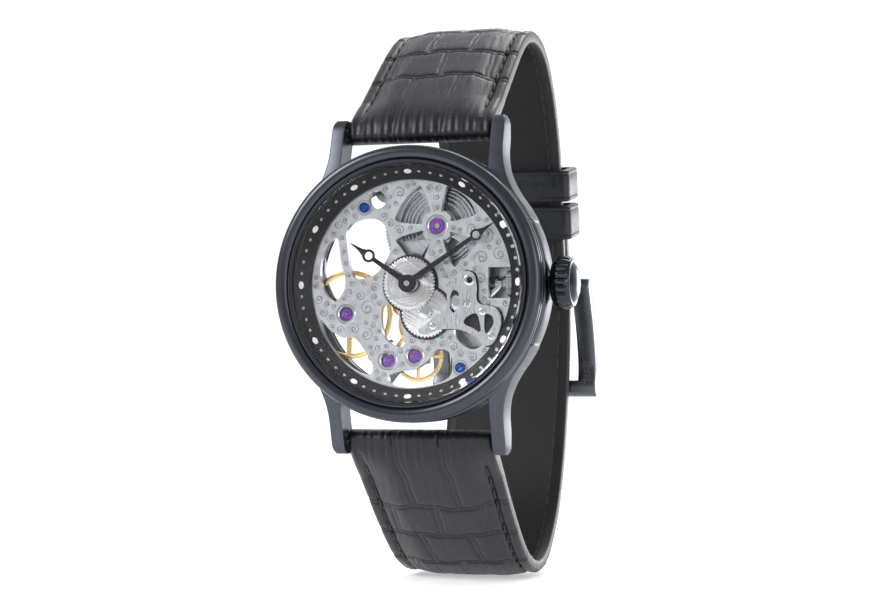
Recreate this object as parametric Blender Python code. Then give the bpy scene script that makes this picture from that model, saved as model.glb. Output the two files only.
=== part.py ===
"""Hand-wound skeleton wristwatch on a buckled leather strap.

Frame: +Z points to 12 o'clock, +X to the crown at 3 o'clock, and the dial faces -Y.
The origin is the centre of the flat face of the case back.
Lengths below are in millimetres. "Height" is the distance in front of the case back,
so a point at height h has y = -h.
"""
import bmesh
import bpy
import math
from mathutils import Vector
from mathutils.geometry import tessellate_polygon

for old_object in list(bpy.data.objects):
    bpy.data.objects.remove(old_object, do_unlink=True)

MM = 0.001
TURN = 2 * math.pi

# Case
CASE_RADIUS = 19.9
BEZEL_RADIUS = 19.85
BORE_RADIUS = 18.6
LUG_TIP_Z = 24.5
LUG_INNER_X = 11.15
LUG_OUTER_X = 13.1
SPRING_BAR_Z = 22.5
SPRING_BAR_HEIGHT = 1.7
SPRING_BAR_RADIUS = 0.75
DIAL_OPENING_RADIUS = 15.0

# Movement levels, as (low, high) heights
RATCHET_LEVEL = (1.72, 2.12)
BRIDGE_LEVEL = (2.4, 3.2)
CENTRE_WHEEL_LEVEL = (3.6, 3.85)
THIRD_WHEEL_LEVEL = (4.35, 4.6)
FOURTH_WHEEL_LEVEL = (4.95, 5.15)
ESCAPE_LEVEL = (4.2, 4.4)
BALANCE_LEVEL = (4.75, 5.25)
BARREL_TOOTH_LEVEL = (5.3, 5.7)
PLATE_LEVEL = (6.0, 7.0)
MINUTE_WHEEL_LEVEL = (7.15, 7.35)
HOUR_WHEEL_LEVEL = (7.6, 7.8)
COVER_LEVEL = (7.65, 7.9)
HOUR_HAND_LEVEL = (8.3, 8.45)
MINUTE_HAND_LEVEL = (8.75, 8.9)
PLATE_RADIUS = 18.3

# Centres of the wheels, as (x, z)
CENTRE = (0.0, 0.0)
BARREL = (3.95, 8.23)
THIRD = (1.7, -5.597)
FOURTH = (0.6, -10.3)
ESCAPE = (-3.4, -10.9)
PALLET = (-5.45, -8.75)
BALANCE = (-9.7, -4.2)
MINUTE = (2.385, -4.107)
SETTING = (6.862, -2.797)
CROWN_WHEEL = (11.1, 0.0)
CLICK = (12.4, 5.15)
SETTING_LEVER = (13.2, 4.0)
YOKE = (9.6, -3.4)

# Posts between the bridges and the mainplate, and screws on the dial side, as (x, z)
BARREL_BRIDGE_POSTS = ((16.0, 4.4), (-5.6, 14.6))
TRAIN_BRIDGE_POSTS = ((13.1, -9.7), (-6.2, -16.0))
COCK_POSTS = ((-16.0, 4.2),)
POST_RADIUS = 0.75
POST_BORE = 0.36
DIAL_SCREWS = ((-6.9, 11.1), (7.4, -12.0))
COVER_SCREW = (8.6, -3.0)

# Tooth counts
BARREL_TEETH = 96
CENTRE_PINION_TEETH = 12
CENTRE_TEETH = 80
THIRD_PINION_TEETH = 10
THIRD_TEETH = 75
FOURTH_PINION_TEETH = 10
FOURTH_TEETH = 70
ESCAPE_PINION_TEETH = 7
ESCAPE_TEETH = 15
CANNON_TEETH = 14
MINUTE_TEETH = 42
MINUTE_PINION_TEETH = 12
HOUR_TEETH = 48
SETTING_TEETH = 13
RATCHET_TEETH = 62
CROWN_WHEEL_TEETH = 32

# Hands, clockwise from 12 o'clock
MINUTE_HAND_ANGLE = math.radians(56.7)
HOUR_HAND_ANGLE = math.radians(304.7)

# Winding stem
STEM_HEIGHT = 4.3
STEM_RADIUS = 0.45
CROWN_RADIUS = 3.8
CROWN_START_X = 20.3
CROWN_FLUTES = 20

# Strap
STRAP_HALF_WIDTH = 10.9
STRAP_END_HALF_WIDTH = 10.25
STRAP_PADDED_THICKNESS = 3.6
STRAP_THIN_THICKNESS = 2.3
KEEPER_WALL = 1.1
KEEPER_INNER_GAP = 0.15
KEEPER_SIDE_GAP = 0.6
KEEPER_OUTER_GAP = 0.7
STRAP_PADDING_LENGTH = 45.0
STRAP_TAPER_START = 10.0
STRAP_TAPER_LENGTH = 55.0
STRAP_TIP_LENGTH = 6.0
STRAP_STEPS = 2


# ---------------------------------------------------------------- materials
def make_material(name, colour, metallic, roughness):
    material = bpy.data.materials.new(name)
    material.use_nodes = True
    shader = material.node_tree.nodes["Principled BSDF"]
    shader.inputs["Base Color"].default_value = (*colour, 1.0)
    shader.inputs["Metallic"].default_value = metallic
    shader.inputs["Roughness"].default_value = roughness
    return material


BLACK_STEEL = make_material("black_pvd_steel", (0.045, 0.05, 0.06), 1.0, 0.32)
SATIN_STEEL = make_material("satin_steel", (0.62, 0.64, 0.68), 1.0, 0.3)
POLISHED_STEEL = make_material("polished_steel", (0.7, 0.71, 0.74), 1.0, 0.12)
GILT = make_material("gilt_brass", (0.86, 0.62, 0.3), 1.0, 0.25)
RUBY = make_material("ruby", (0.3, 0.05, 0.5), 0.0, 0.08)
BLUED = make_material("blued_steel", (0.03, 0.12, 0.45), 1.0, 0.18)
GLASS = make_material("sapphire_glass", (0.95, 0.97, 1.0), 0.0, 0.02)
DIAL_BLACK = make_material("dial_black", (0.02, 0.02, 0.024), 0.0, 0.45)
RUBBER = make_material("gasket_rubber", (0.02, 0.02, 0.02), 0.0, 0.7)
SPRING_STEEL = make_material("spring_steel", (0.2, 0.2, 0.22), 1.0, 0.3)
LEATHER = make_material("black_leather", (0.018, 0.02, 0.025), 0.0, 0.45)


# ---------------------------------------------------------------- mesh helpers
def add_object(name, points, faces, material):
    """Make an object from points in millimetres, with round shading."""
    mesh = bpy.data.meshes.new(name)
    mesh.from_pydata([Vector(point) * MM for point in points], [], faces)
    shell = bmesh.new()
    shell.from_mesh(mesh)
    bmesh.ops.recalc_face_normals(shell, faces=shell.faces)
    shell.to_mesh(mesh)
    shell.free()
    mesh.materials.append(material)
    mesh.shade_smooth()
    mesh.set_sharp_from_angle(angle=math.radians(35))
    made = bpy.data.objects.new(name, mesh)
    bpy.context.collection.objects.link(made)
    return made


def set_origin(made, x, y, z):
    """Put an object's origin on its joint, and leave its shape where it is."""
    offset = Vector((x, y, z)) * MM
    for vertex in made.data.vertices:
        vertex.co -= offset
    made.location = offset


def signed_area(loop):
    total = 0.0
    for index, (x, z) in enumerate(loop):
        x_before, z_before = loop[index - 1]
        total += x_before * z - x * z_before
    return total / 2


def extrude_loops(loops, low, high):
    """Points and faces of a plate between two heights; the first loop is its outline."""
    oriented = []
    for index, loop in enumerate(loops):
        wants_positive = index == 0
        if (signed_area(loop) > 0) != wants_positive:
            loop = list(reversed(loop))
        oriented.append(loop)
    flat = [point for loop in oriented for point in loop]
    count = len(flat)
    points = [(x, -low, z) for x, z in flat] + [(x, -high, z) for x, z in flat]
    faces = []
    for a, b, c in tessellate_polygon([[Vector((x, z, 0)) for x, z in loop] for loop in oriented]):
        if signed_area([flat[a], flat[b], flat[c]]) < 0:
            a, c = c, a
        faces.append((c, b, a))
        faces.append((a + count, b + count, c + count))
    start = 0
    for loop in oriented:
        size = len(loop)
        for index in range(size):
            this = start + index
            following = start + (index + 1) % size
            faces.append((this, following, following + count, this + count))
        start += size
    return points, faces


def plate(name, loops, level, material):
    points, faces = extrude_loops(loops, level[0], level[1])
    return add_object(name, points, faces, material)


def side_plate(name, outline, x_low, x_high, material):
    """A plate whose outline is (y, z) points, thick along X."""
    points, faces = extrude_loops([outline], x_low, x_high)
    turned_points = [(-y, x, z) for x, y, z in points]
    return add_object(name, turned_points, [tuple(reversed(face)) for face in faces], material)


def turned(name, profile, material, centre=CENTRE, segments=48):
    """Turn (radius, height) points about a line along Y through centre.

    The profile runs round the section anticlockwise, with radius to the right and height up.
    """
    x0, z0 = centre
    return add_object(name, *turned_data(profile, segments, lambda r, c, s, h: (x0 + r * c, -h, z0 + r * s)),
                      material)


def turned_on_x(name, profile, material, y0, z0, segments=32):
    """Turn (radius, x) points about a line along X through (y0, z0)."""
    points, faces = turned_data(profile, segments, lambda r, c, s, x: (x, y0 + r * c, z0 + r * s))
    return add_object(name, points, faces, material)


def turned_data(profile, segments, place):
    points = []
    rings = []
    for radius, along in profile:
        if radius < 1e-6:
            rings.append([len(points)] * segments)
            points.append(place(0, 1, 0, along))
            continue
        rings.append(list(range(len(points), len(points) + segments)))
        for index in range(segments):
            angle = TURN * index / segments
            points.append(place(radius, math.cos(angle), math.sin(angle), along))
    faces = []
    for index, ring in enumerate(rings):
        following = rings[(index + 1) % len(rings)]
        for step in range(segments):
            after = (step + 1) % segments
            corners = [ring[step], ring[after], following[after], following[step]]
            unique = list(dict.fromkeys(corners))
            if len(unique) >= 3:
                faces.append(tuple(unique))
    return points, faces


def combine(base, tool, operation):
    """Union or cut one object with another, which stays as a hidden guide."""
    modifier = base.modifiers.new(operation.lower(), "BOOLEAN")
    modifier.operation = operation
    modifier.solver = "EXACT"
    modifier.object = tool
    tool.hide_render = True
    tool.display_type = "WIRE"


def guide_name(node, number):
    return f"{node}_guide_{number}"


# ---------------------------------------------------------------- outlines
def circle(centre, radius, segments=24):
    x0, z0 = centre
    return [(x0 + radius * math.cos(TURN * i / segments), z0 + radius * math.sin(TURN * i / segments))
            for i in range(segments)]


def gear_outline(centre, pitch_radius, teeth, phase):
    """Pointed teeth; phase is the angle of one tooth's tip."""
    module = 2 * pitch_radius / teeth
    tip = pitch_radius + 0.42 * module
    root = pitch_radius - 0.78 * module
    outline = []
    for index in range(teeth):
        angle = phase + TURN * index / teeth
        half = TURN / teeth / 2
        outline.append((centre[0] + tip * math.cos(angle), centre[1] + tip * math.sin(angle)))
        outline.append((centre[0] + root * math.cos(angle + half), centre[1] + root * math.sin(angle + half)))
    return outline


def sector_hole(centre, inner, outer, start, end, steps=5):
    """An opening between two radii and two angles."""
    outline = []
    for radius, first, last in ((outer, start, end), (inner, end, start)):
        for index in range(steps + 1):
            angle = first + (last - first) * index / steps
            outline.append((centre[0] + radius * math.cos(angle), centre[1] + radius * math.sin(angle)))
    return outline


def crossings(centre, inner, outer, spokes, phase, spoke_width):
    """The openings between the spokes of a wheel."""
    holes = []
    for index in range(spokes):
        start = phase + TURN * index / spokes
        end = start + TURN / spokes
        margin_out = spoke_width / 2 / outer
        margin_in = spoke_width / 2 / inner
        hole = []
        for step in range(5):
            angle = start + margin_out + (end - start - 2 * margin_out) * step / 4
            hole.append((centre[0] + outer * math.cos(angle), centre[1] + outer * math.sin(angle)))
        for step in range(2):
            angle = end - margin_in - (end - start - 2 * margin_in) * step
            hole.append((centre[0] + inner * math.cos(angle), centre[1] + inner * math.sin(angle)))
        holes.append(hole)
    return holes


def direction(first, second):
    return math.atan2(second[1] - first[1], second[0] - first[0])


def distance(first, second):
    return math.hypot(second[0] - first[0], second[1] - first[1])


def meshing_phase(first, first_teeth, first_phase, second, second_teeth):
    """The tooth angle of a second gear that sets its gaps on the first gear's teeth."""
    line = direction(first, second)
    first_pitch = TURN / first_teeth
    fraction = ((line - first_phase) / first_pitch) % 1
    other = (0.5 - fraction) % 1
    return line + math.pi - other * TURN / second_teeth


def pitch_radii(first, second, first_teeth, second_teeth):
    """Pitch radii that fill the distance between two centres in the ratio of the teeth."""
    gap = distance(first, second)
    first_radius = gap * first_teeth / (first_teeth + second_teeth)
    return first_radius, gap - first_radius


def rod_profile(sections):
    """A closed profile of a solid rod from (radius, low, high) sections, lowest first."""
    profile = [(0, sections[0][1])]
    for radius, low, high in sections:
        profile.append((radius, low))
        profile.append((radius, high))
    profile.append((0, sections[-1][2]))
    return profile


def tube_profile(inner, outer, low, high):
    return [(inner, low), (outer, low), (outer, high), (inner, high)]


# ---------------------------------------------------------------- case
def lug_outer_x(z):
    """Half width of the case over the lugs: a round case that sweeps into straight lugs."""
    if z < 12.3:
        return math.sqrt(CASE_RADIUS ** 2 - z ** 2)
    sweep = min(1.0, (z - 12.3) / 8.0)
    at_case = math.sqrt(CASE_RADIUS ** 2 - 12.3 ** 2)
    return LUG_OUTER_X + (at_case - LUG_OUTER_X) * (1 - sweep) ** 2.2


def lug_front_height(z):
    """The lug's front face falls towards the wrist in a long curve."""
    fall = max(0.0, (z - 9.0) / (LUG_TIP_Z - 9.0))
    return 7.4 - 3.9 * fall ** 1.5


def lug_back_height(z):
    rise = max(0.0, min(1.0, (z - 16.0) / 5.0))
    return 1.9 - 1.7 * rise


def lug(name, side, end):
    """One lug; side is -1 or 1 along X, end is -1 or 1 along Z."""
    stations = [9.0, 10.5, 12.0, 13.3, 14.6, 16.0, 17.5, 19.0, 20.5, 22.0, 23.2, 24.0, LUG_TIP_Z]
    bevel = 0.35
    points = []
    for z in stations:
        outer = lug_outer_x(z)
        outer = outer - (0.25 if z > 24.2 else 0.0)
        front = lug_front_height(z)
        back = lug_back_height(z)
        if z > 23.0:
            round_off = (z - 23.0) / (LUG_TIP_Z - 23.0)
            front -= 0.7 * round_off ** 2
            back += 0.8 * round_off ** 2
        section = [(LUG_INNER_X, back), (outer, back), (outer, front - bevel),
                   (outer - bevel, front), (LUG_INNER_X, front)]
        points += [(side * x, -height, end * z) for x, height in section]
    faces = [tuple(range(5)), tuple(range(len(points) - 5, len(points)))]
    for row in range(len(stations) - 1):
        for step in range(5):
            after = (step + 1) % 5
            faces.append((row * 5 + step, row * 5 + after, (row + 1) * 5 + after, (row + 1) * 5 + step))
    return add_object(name, points, faces, BLACK_STEEL)


def crown_side_bore(name, radius, x_low, x_high, segments=24):
    return turned_on_x(name, rod_profile([(radius, x_low, x_high)]), BLACK_STEEL,
                       -STEM_HEIGHT, 0, segments)


def make_case():
    ring = turned("case_middle", [
        (BORE_RADIUS - 1, 1.9), (CASE_RADIUS - 0.6, 1.9), (CASE_RADIUS, 2.4), (CASE_RADIUS, 6.2),
        (CASE_RADIUS - 0.35, 6.6), (CASE_RADIUS - 0.45, 8.2), (BORE_RADIUS - 1, 8.2),
    ], BLACK_STEEL, segments=52)
    number = 0
    for side in (-1, 1):
        for end in (-1, 1):
            number += 1
            combine(ring, lug(guide_name("case_middle", number), side, end), "UNION")
    clear = turned(guide_name("case_middle", 5), rod_profile([(BORE_RADIUS, 1.0, 9.0)]), BLACK_STEEL,
                   segments=52)
    combine(ring, clear, "DIFFERENCE")
    combine(ring, crown_side_bore(guide_name("case_middle", 6), 1.15, 17.0, 21.0), "DIFFERENCE")
    for end in (-1, 1):
        bar_hole = turned_on_x(guide_name("case_middle", 7 + (end > 0)),
                               rod_profile([(SPRING_BAR_RADIUS + 0.1, -12.4, 12.4)]), BLACK_STEEL,
                               -SPRING_BAR_HEIGHT, end * SPRING_BAR_Z, 12)
        combine(ring, bar_hole, "DIFFERENCE")

    turned("bezel", [
        (17.7, 8.3), (BEZEL_RADIUS, 8.3), (BEZEL_RADIUS, 9.0), (BEZEL_RADIUS - 0.6, 9.1),
        (BEZEL_RADIUS - 1.2, 10.2), (BEZEL_RADIUS - 1.9, 10.45), (17.1, 10.2), (17.1, 9.85), (17.7, 9.85),
    ], BLACK_STEEL, segments=52)
    turned("crystal_gasket", [(17.15, 9.25), (17.6, 9.25), (17.6, 9.75), (17.15, 9.75)], RUBBER,
           segments=40)
    turned("front_crystal", [
        (0, 10.35), (11.0, 10.1), (17.0, 9.3), (17.0, 10.35), (15.5, 10.8), (11.0, 11.35), (0, 11.75),
    ], GLASS, segments=40)
    turned("chapter_ring", [
        (DIAL_OPENING_RADIUS, 7.15), (18.4, 7.15), (18.4, 8.2), (17.5, 8.2), (17.4, 9.15), (16.95, 9.15),
        (DIAL_OPENING_RADIUS, 7.5),
    ], DIAL_BLACK, segments=48)

    turned("case_back", [
        (15.4, 0.0), (18.9, 0.0), (19.3, 0.4), (19.3, 1.75), (16.8, 1.75), (15.4, 1.45),
    ], BLACK_STEEL, segments=48)
    turned("back_crystal", [(0, 0), (15.1, 0), (15.3, 0.2), (15.3, 1.4), (0, 1.4)], GLASS, segments=40)
    turned_on_x("crown_tube", tube_profile(0.65, 1.05, 18.9, 20.9), BLACK_STEEL, -STEM_HEIGHT, 0, 20)
    for end, name in ((1, "upper_spring_bar"), (-1, "lower_spring_bar")):
        turned_on_x(name, rod_profile([(0.4, -12.2, -11.1), (SPRING_BAR_RADIUS, -10.9, 10.9),
                                       (0.4, 11.1, 12.2)]), SATIN_STEEL,
                    -SPRING_BAR_HEIGHT, end * SPRING_BAR_Z, 12)


# ---------------------------------------------------------------- fixed movement parts
MAINPLATE_WINDOWS = {
    "upper_left": [(-9.4, 8.3), (-6.2, 9.5), (-4.0, 8.6), (-2.9, 5.6), (-3.9, 3.0), (-5.6, 1.3),
                   (-7.8, 0.8), (-8.8, 1.6), (-9.4, 4.4)],
    "left": [(-13.0, 5.0), (-11.1, 6.8), (-10.5, 3.4), (-9.9, 1.2), (-10.0, -0.7), (-11.5, -2.4),
             (-13.1, -0.8), (-13.7, 2.0)],
    "lower_left": [(-13.6, -5.0), (-12.0, -6.6), (-10.2, -7.6), (-8.4, -7.7), (-6.9, -9.5), (-5.7, -11.5),
                   (-6.1, -12.9), (-8.4, -12.3), (-10.8, -10.3), (-12.8, -7.6)],
    "bottom": [(-1.8, -12.5), (0.6, -12.2), (2.4, -11.1), (3.9, -9.4), (5.9, -10.0), (6.0, -12.9),
               (4.0, -14.2), (0.6, -14.8), (-2.6, -14.5), (-3.3, -13.3)],
    "centre_left": [(-4.0, -3.0), (-2.2, -3.6), (-1.2, -6.4), (-0.9, -8.6), (-2.2, -8.9), (-3.9, -7.6),
                    (-4.4, -5.0)],
    "lower_right": [(6.9, -5.4), (9.6, -4.4), (12.3, -5.6), (11.2, -8.3), (8.9, -9.4), (6.6, -7.6)],
}


def make_mainplate():
    windows = list(MAINPLATE_WINDOWS.values())
    for start, end in ((15, 75), (112, 172), (196, 246), (292, 338)):
        windows.append(sector_hole(BARREL, 2.4, 6.2, math.radians(start), math.radians(end)))
    windows.append([(11.5, -2.2), (16.2, -2.2), (16.2, 2.2), (11.5, 2.2)])
    windows.append(circle((-4.9, 12.2), 1.3, 12))
    windows.append(circle(CENTRE, 1.3, 12))
    for centre, radius in ((BARREL, 1.15), (FOURTH, 1.0), (ESCAPE, 1.0), (BALANCE, 1.0), (COVER_SCREW, 0.36),
                           (DIAL_SCREWS[0], 0.42), (DIAL_SCREWS[1], 0.42), (SETTING, 0.3), (MINUTE, 0.3)):
        windows.append(circle(centre, radius, 10))
    plate("mainplate", [circle(CENTRE, PLATE_RADIUS, 56)] + windows, PLATE_LEVEL, SATIN_STEEL)


def jewel(name, centre, level, radius, bore):
    turned(name, [(bore, level[0]), (radius, level[0]), (radius, level[1]), (radius * 0.7, level[1]),
                  (bore, level[1] - 0.15)], RUBY, centre, 12)


def post(node, number, centre):
    """A hollow post that joins a bridge to the mainplate; its screw passes through it."""
    level = (BRIDGE_LEVEL[1] - 0.2, PLATE_LEVEL[0] - 0.05)
    return turned(guide_name(node, number), tube_profile(POST_BORE + 0.05, POST_RADIUS, *level), SATIN_STEEL,
                  centre, 14)


def post_holes(centres):
    return [circle(centre, POST_BORE, 10) for centre in centres]


def make_bridges():
    barrel_outline = [(-2.6, 8.6), (-1.8, 3.6), (0.6, 1.6), (3.2, 1.2), (6.2, -1.0), (8.6, -3.4),
                      (12.5, -4.6), (16.0, -3.6), (17.0, 0.0), (16.6, 5.8), (13.6, 11.0), (9.6, 15.0),
                      (4.4, 17.2), (-1.6, 17.0), (-7.0, 15.8), (-6.0, 12.6), (-3.4, 11.4)]
    barrel_bridge = plate("barrel_bridge", [
        barrel_outline, circle(BARREL, 1.3, 16), circle(CROWN_WHEEL, 1.0, 16),
        [(13.6, -1.9), (15.6, -1.9), (15.6, 1.9), (13.6, 1.9)],
    ] + post_holes(BARREL_BRIDGE_POSTS), BRIDGE_LEVEL, SATIN_STEEL)
    for number, centre in enumerate(BARREL_BRIDGE_POSTS):
        combine(barrel_bridge, post("barrel_bridge", number, centre), "UNION")

    train_outline = [(-0.8, 0.6), (0.5, 0.8), (1.1, -0.6), (2.6, -3.6), (5.6, -5.6), (10.4, -7.8),
                     (13.6, -8.6),
                     (14.2, -9.9), (13.2, -10.9), (9.2, -11.0), (5.2, -9.2), (2.2, -9.4), (1.7, -11.2),
                     (-0.4, -11.5),
                     (-2.4, -12.2), (-4.4, -14.6), (-5.1, -16.6), (-6.4, -17.2), (-7.4, -16.4), (-7.0, -14.9),
                     (-5.6, -12.4), (-4.7, -10.2), (-3.2, -9.6), (-0.6, -8.8), (0.5, -6.6), (0.2, -4.2),
                     (-0.9, -0.8)]
    holes = [circle(centre, 0.32, 8) for centre in (CENTRE, THIRD, FOURTH, ESCAPE)]
    train_bridge = plate("train_bridge", [train_outline] + holes + post_holes(TRAIN_BRIDGE_POSTS),
                         BRIDGE_LEVEL, SATIN_STEEL)
    for number, centre in enumerate(TRAIN_BRIDGE_POSTS):
        combine(train_bridge, post("train_bridge", number, centre), "UNION")

    cock_outline = [(-17.4, 4.4), (-16.0, 5.6), (-14.4, 4.4), (-14.2, 1.4), (-12.6, -1.8), (-9.6, -2.4),
                    (-8.0, -4.2), (-9.7, -5.9), (-11.8, -4.4), (-14.6, -2.4), (-16.6, 0.6)]
    cock = plate("balance_cock", [cock_outline, circle(BALANCE, 0.32, 8)] + post_holes(COCK_POSTS),
                 BRIDGE_LEVEL, SATIN_STEEL)
    combine(cock, post("balance_cock", 0, COCK_POSTS[0]), "UNION")
    plate("pallet_bridge", [[(-7.4, -10.6), (-6.4, -10.9), (-4.8, -9.4), (-4.8, -8.2), (-6.0, -8.0),
                             (-7.2, -9.4)],
                            circle(PALLET, 0.25, 8)], (3.4, 3.8), SATIN_STEEL)

    pivot_level = (PLATE_LEVEL[0] + 0.2, PLATE_LEVEL[1] - 0.1)
    jewel("barrel_jewel", BARREL, (PLATE_LEVEL[0] + 0.1, PLATE_LEVEL[1] + 0.1), 1.05, 0.5)
    jewel("fourth_jewel", FOURTH, pivot_level, 0.9, 0.2)
    jewel("escape_jewel", ESCAPE, pivot_level, 0.9, 0.2)
    jewel("balance_jewel", BALANCE, pivot_level, 0.9, 0.2)


COVER_OUTLINE = [(3.9, -4.5), (5.6, -3.6), (5.7, -1.4), (6.6, 0.4), (8.0, 1.6), (9.5, 1.3), (10.0, -0.4),
                 (10.2, -2.8), (12.8, -3.6), (13.6, -5.6), (12.6, -8.4), (11.0, -8.9), (9.4, -7.4),
                 (7.2, -6.6), (4.6, -6.6), (2.4, -7.3), (1.4, -6.6), (3.0, -5.4)]


def make_keyless_cover():
    """The plate over the setting wheels, with its windows and screw seats."""
    windows = [
        [(6.1, -2.0), (6.6, -1.0), (7.4, -1.5), (7.5, -2.9), (6.7, -4.2), (6.0, -3.4)],
        [(8.4, -5.0), (10.0, -4.4), (10.6, -6.9), (9.4, -6.4), (8.2, -5.8)],
        [(11.2, -4.6), (12.3, -4.8), (12.4, -6.0), (11.3, -7.2)],
        circle((9.0, 0.4), 0.45, 10), circle((8.6, -3.0), 0.5, 10),
    ]
    plate("keyless_cover", [COVER_OUTLINE] + windows, COVER_LEVEL, SATIN_STEEL)


def screw(name, centre, head_radius, bottom, facing, length, material):
    """A slotted screw; facing is 1 when the head looks towards the dial and -1 towards the back."""
    shank = head_radius * 0.45
    head = bottom + facing * 0.35
    profile = [(0, bottom - facing * length), (shank, bottom - facing * length), (shank, bottom),
               (head_radius, bottom), (head_radius, head), (0, head)]
    made = turned(name, profile, material, centre, 8)
    x, z = centre
    reach = head_radius * 1.2
    slot_level = sorted((head - facing * 0.12, head + facing * 0.2))
    slot = plate(guide_name(name, 0), [[(x - reach, z - 0.08), (x + reach, z - 0.08), (x + reach, z + 0.08),
                                        (x - reach, z + 0.08)]], slot_level, material)
    combine(made, slot, "DIFFERENCE")


def make_screws():
    """The screws that show on the dial side, and those of the bridges on the back."""
    for name, centre in zip(("dial_screw_upper", "dial_screw_lower"), DIAL_SCREWS):
        screw(name, centre, 0.75, PLATE_LEVEL[1] + 0.05, 1, 0.8, BLUED)
    screw("cover_screw", COVER_SCREW, 0.62, COVER_LEVEL[1] + 0.05, 1, 1.2, POLISHED_STEEL)
    bridge_posts = BARREL_BRIDGE_POSTS + TRAIN_BRIDGE_POSTS + COCK_POSTS
    names = ("barrel_bridge_screw_1", "barrel_bridge_screw_2", "train_bridge_screw_1",
             "train_bridge_screw_2", "balance_cock_screw")
    for name, centre in zip(names, bridge_posts):
        screw(name, centre, 0.6, BRIDGE_LEVEL[0] - 0.05, -1, 3.2, BLUED)


# ---------------------------------------------------------------- wheels
def wheel(name, centre, teeth, pitch_radius, phase, level, material, spokes, arbor, pinion=None,
          hub_radius=0.9):
    """A spoked wheel on its arbor, with its pinion when it has one.

    arbor is (radius, low, high) sections; pinion is (teeth, pitch radius, phase, low, high).
    """
    module = 2 * pitch_radius / teeth
    loops = [gear_outline(centre, pitch_radius, teeth, phase)]
    if spokes:
        loops += crossings(centre, hub_radius, pitch_radius - 1.2 * module - 0.45, spokes, phase, 0.5)
    made = plate(name, loops, level, material)
    set_origin(made, centre[0], -level[0], centre[1])
    combine(made, turned(guide_name(name, 0), rod_profile(arbor), material, centre, 8), "UNION")
    if pinion:
        leaves, radius, leaf_phase, low, high = pinion
        leaf = plate(guide_name(name, 1), [gear_outline(centre, radius, leaves, leaf_phase)], (low, high),
                     material)
        combine(made, leaf, "UNION")
    return made


def make_going_train():
    low_pivot = BRIDGE_LEVEL[0] + 0.3
    high_pivot = PLATE_LEVEL[0] - 0.08
    barrel_radius, centre_pinion = pitch_radii(BARREL, CENTRE, BARREL_TEETH, CENTRE_PINION_TEETH)
    centre_radius, third_pinion = pitch_radii(CENTRE, THIRD, CENTRE_TEETH, THIRD_PINION_TEETH)
    third_radius, fourth_pinion = pitch_radii(THIRD, FOURTH, THIRD_TEETH, FOURTH_PINION_TEETH)
    fourth_radius, escape_pinion = pitch_radii(FOURTH, ESCAPE, FOURTH_TEETH, ESCAPE_PINION_TEETH)

    drum_low = CENTRE_WHEEL_LEVEL[1] + 0.3
    barrel = plate("barrel_drum", [gear_outline(BARREL, barrel_radius, BARREL_TEETH, 0),
                                   circle(BARREL, 0.95, 12)] + [
        sector_hole(BARREL, 2.6, 5.8, TURN * number / 3, TURN * number / 3 + 1.4) for number in range(3)],
        BARREL_TOOTH_LEVEL, SATIN_STEEL)
    set_origin(barrel, BARREL[0], -drum_low, BARREL[1])
    wall = turned(guide_name("barrel_drum", 0),
                  tube_profile(barrel_radius - 0.9, barrel_radius - 0.45, drum_low,
                               BARREL_TOOTH_LEVEL[0] + 0.1),
                  SATIN_STEEL, BARREL, 32)
    combine(barrel, wall, "UNION")

    phase = 0.0
    centre_phase = meshing_phase(BARREL, BARREL_TEETH, phase, CENTRE, CENTRE_PINION_TEETH)
    wheel("centre_wheel", CENTRE, CENTRE_TEETH, centre_radius, phase, CENTRE_WHEEL_LEVEL, GILT, 5,
          [(0.22, low_pivot, 3.3), (0.55, 3.3, BARREL_TOOTH_LEVEL[0]), (0.5, 5.6, 7.6), (0.4, 7.6, 9.1)],
          (CENTRE_PINION_TEETH, centre_pinion, centre_phase, BARREL_TOOTH_LEVEL[0] - 0.1,
           BARREL_TOOTH_LEVEL[1] + 0.1))
    third_phase = meshing_phase(CENTRE, CENTRE_TEETH, phase, THIRD, THIRD_PINION_TEETH)
    wheel("third_wheel", THIRD, THIRD_TEETH, third_radius, phase, THIRD_WHEEL_LEVEL, GILT, 5,
          [(0.22, low_pivot, 3.3), (0.4, 3.3, 5.2), (0.2, 5.2, high_pivot)],
          (THIRD_PINION_TEETH, third_pinion, third_phase, 3.5, 3.95))
    fourth_phase = meshing_phase(THIRD, THIRD_TEETH, phase, FOURTH, FOURTH_PINION_TEETH)
    wheel("fourth_wheel", FOURTH, FOURTH_TEETH, fourth_radius, phase, FOURTH_WHEEL_LEVEL, GILT, 4,
          [(0.22, low_pivot, 3.3), (0.35, 3.3, 5.4), (0.15, 5.4, PLATE_LEVEL[0] + 0.6)],
          (FOURTH_PINION_TEETH, fourth_pinion, fourth_phase, 4.25, 4.7))
    escape_phase = meshing_phase(FOURTH, FOURTH_TEETH, phase, ESCAPE, ESCAPE_PINION_TEETH)
    escape = plate("escape_wheel", [escape_outline(0.1)] + crossings(ESCAPE, 0.7, 1.45, 4, 0, 0.35),
                   ESCAPE_LEVEL, POLISHED_STEEL)
    set_origin(escape, ESCAPE[0], -ESCAPE_LEVEL[0], ESCAPE[1])
    combine(escape, turned(guide_name("escape_wheel", 0),
                           rod_profile([(0.22, low_pivot, 3.3), (0.25, 3.3, 5.4),
                                        (0.15, 5.4, PLATE_LEVEL[0] + 0.6)]),
                           POLISHED_STEEL, ESCAPE, 12), "UNION")
    leaf = plate(guide_name("escape_wheel", 1),
                 [gear_outline(ESCAPE, escape_pinion, ESCAPE_PINION_TEETH, escape_phase)], (4.8, 5.25),
                 POLISHED_STEEL)
    combine(escape, leaf, "UNION")


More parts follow.
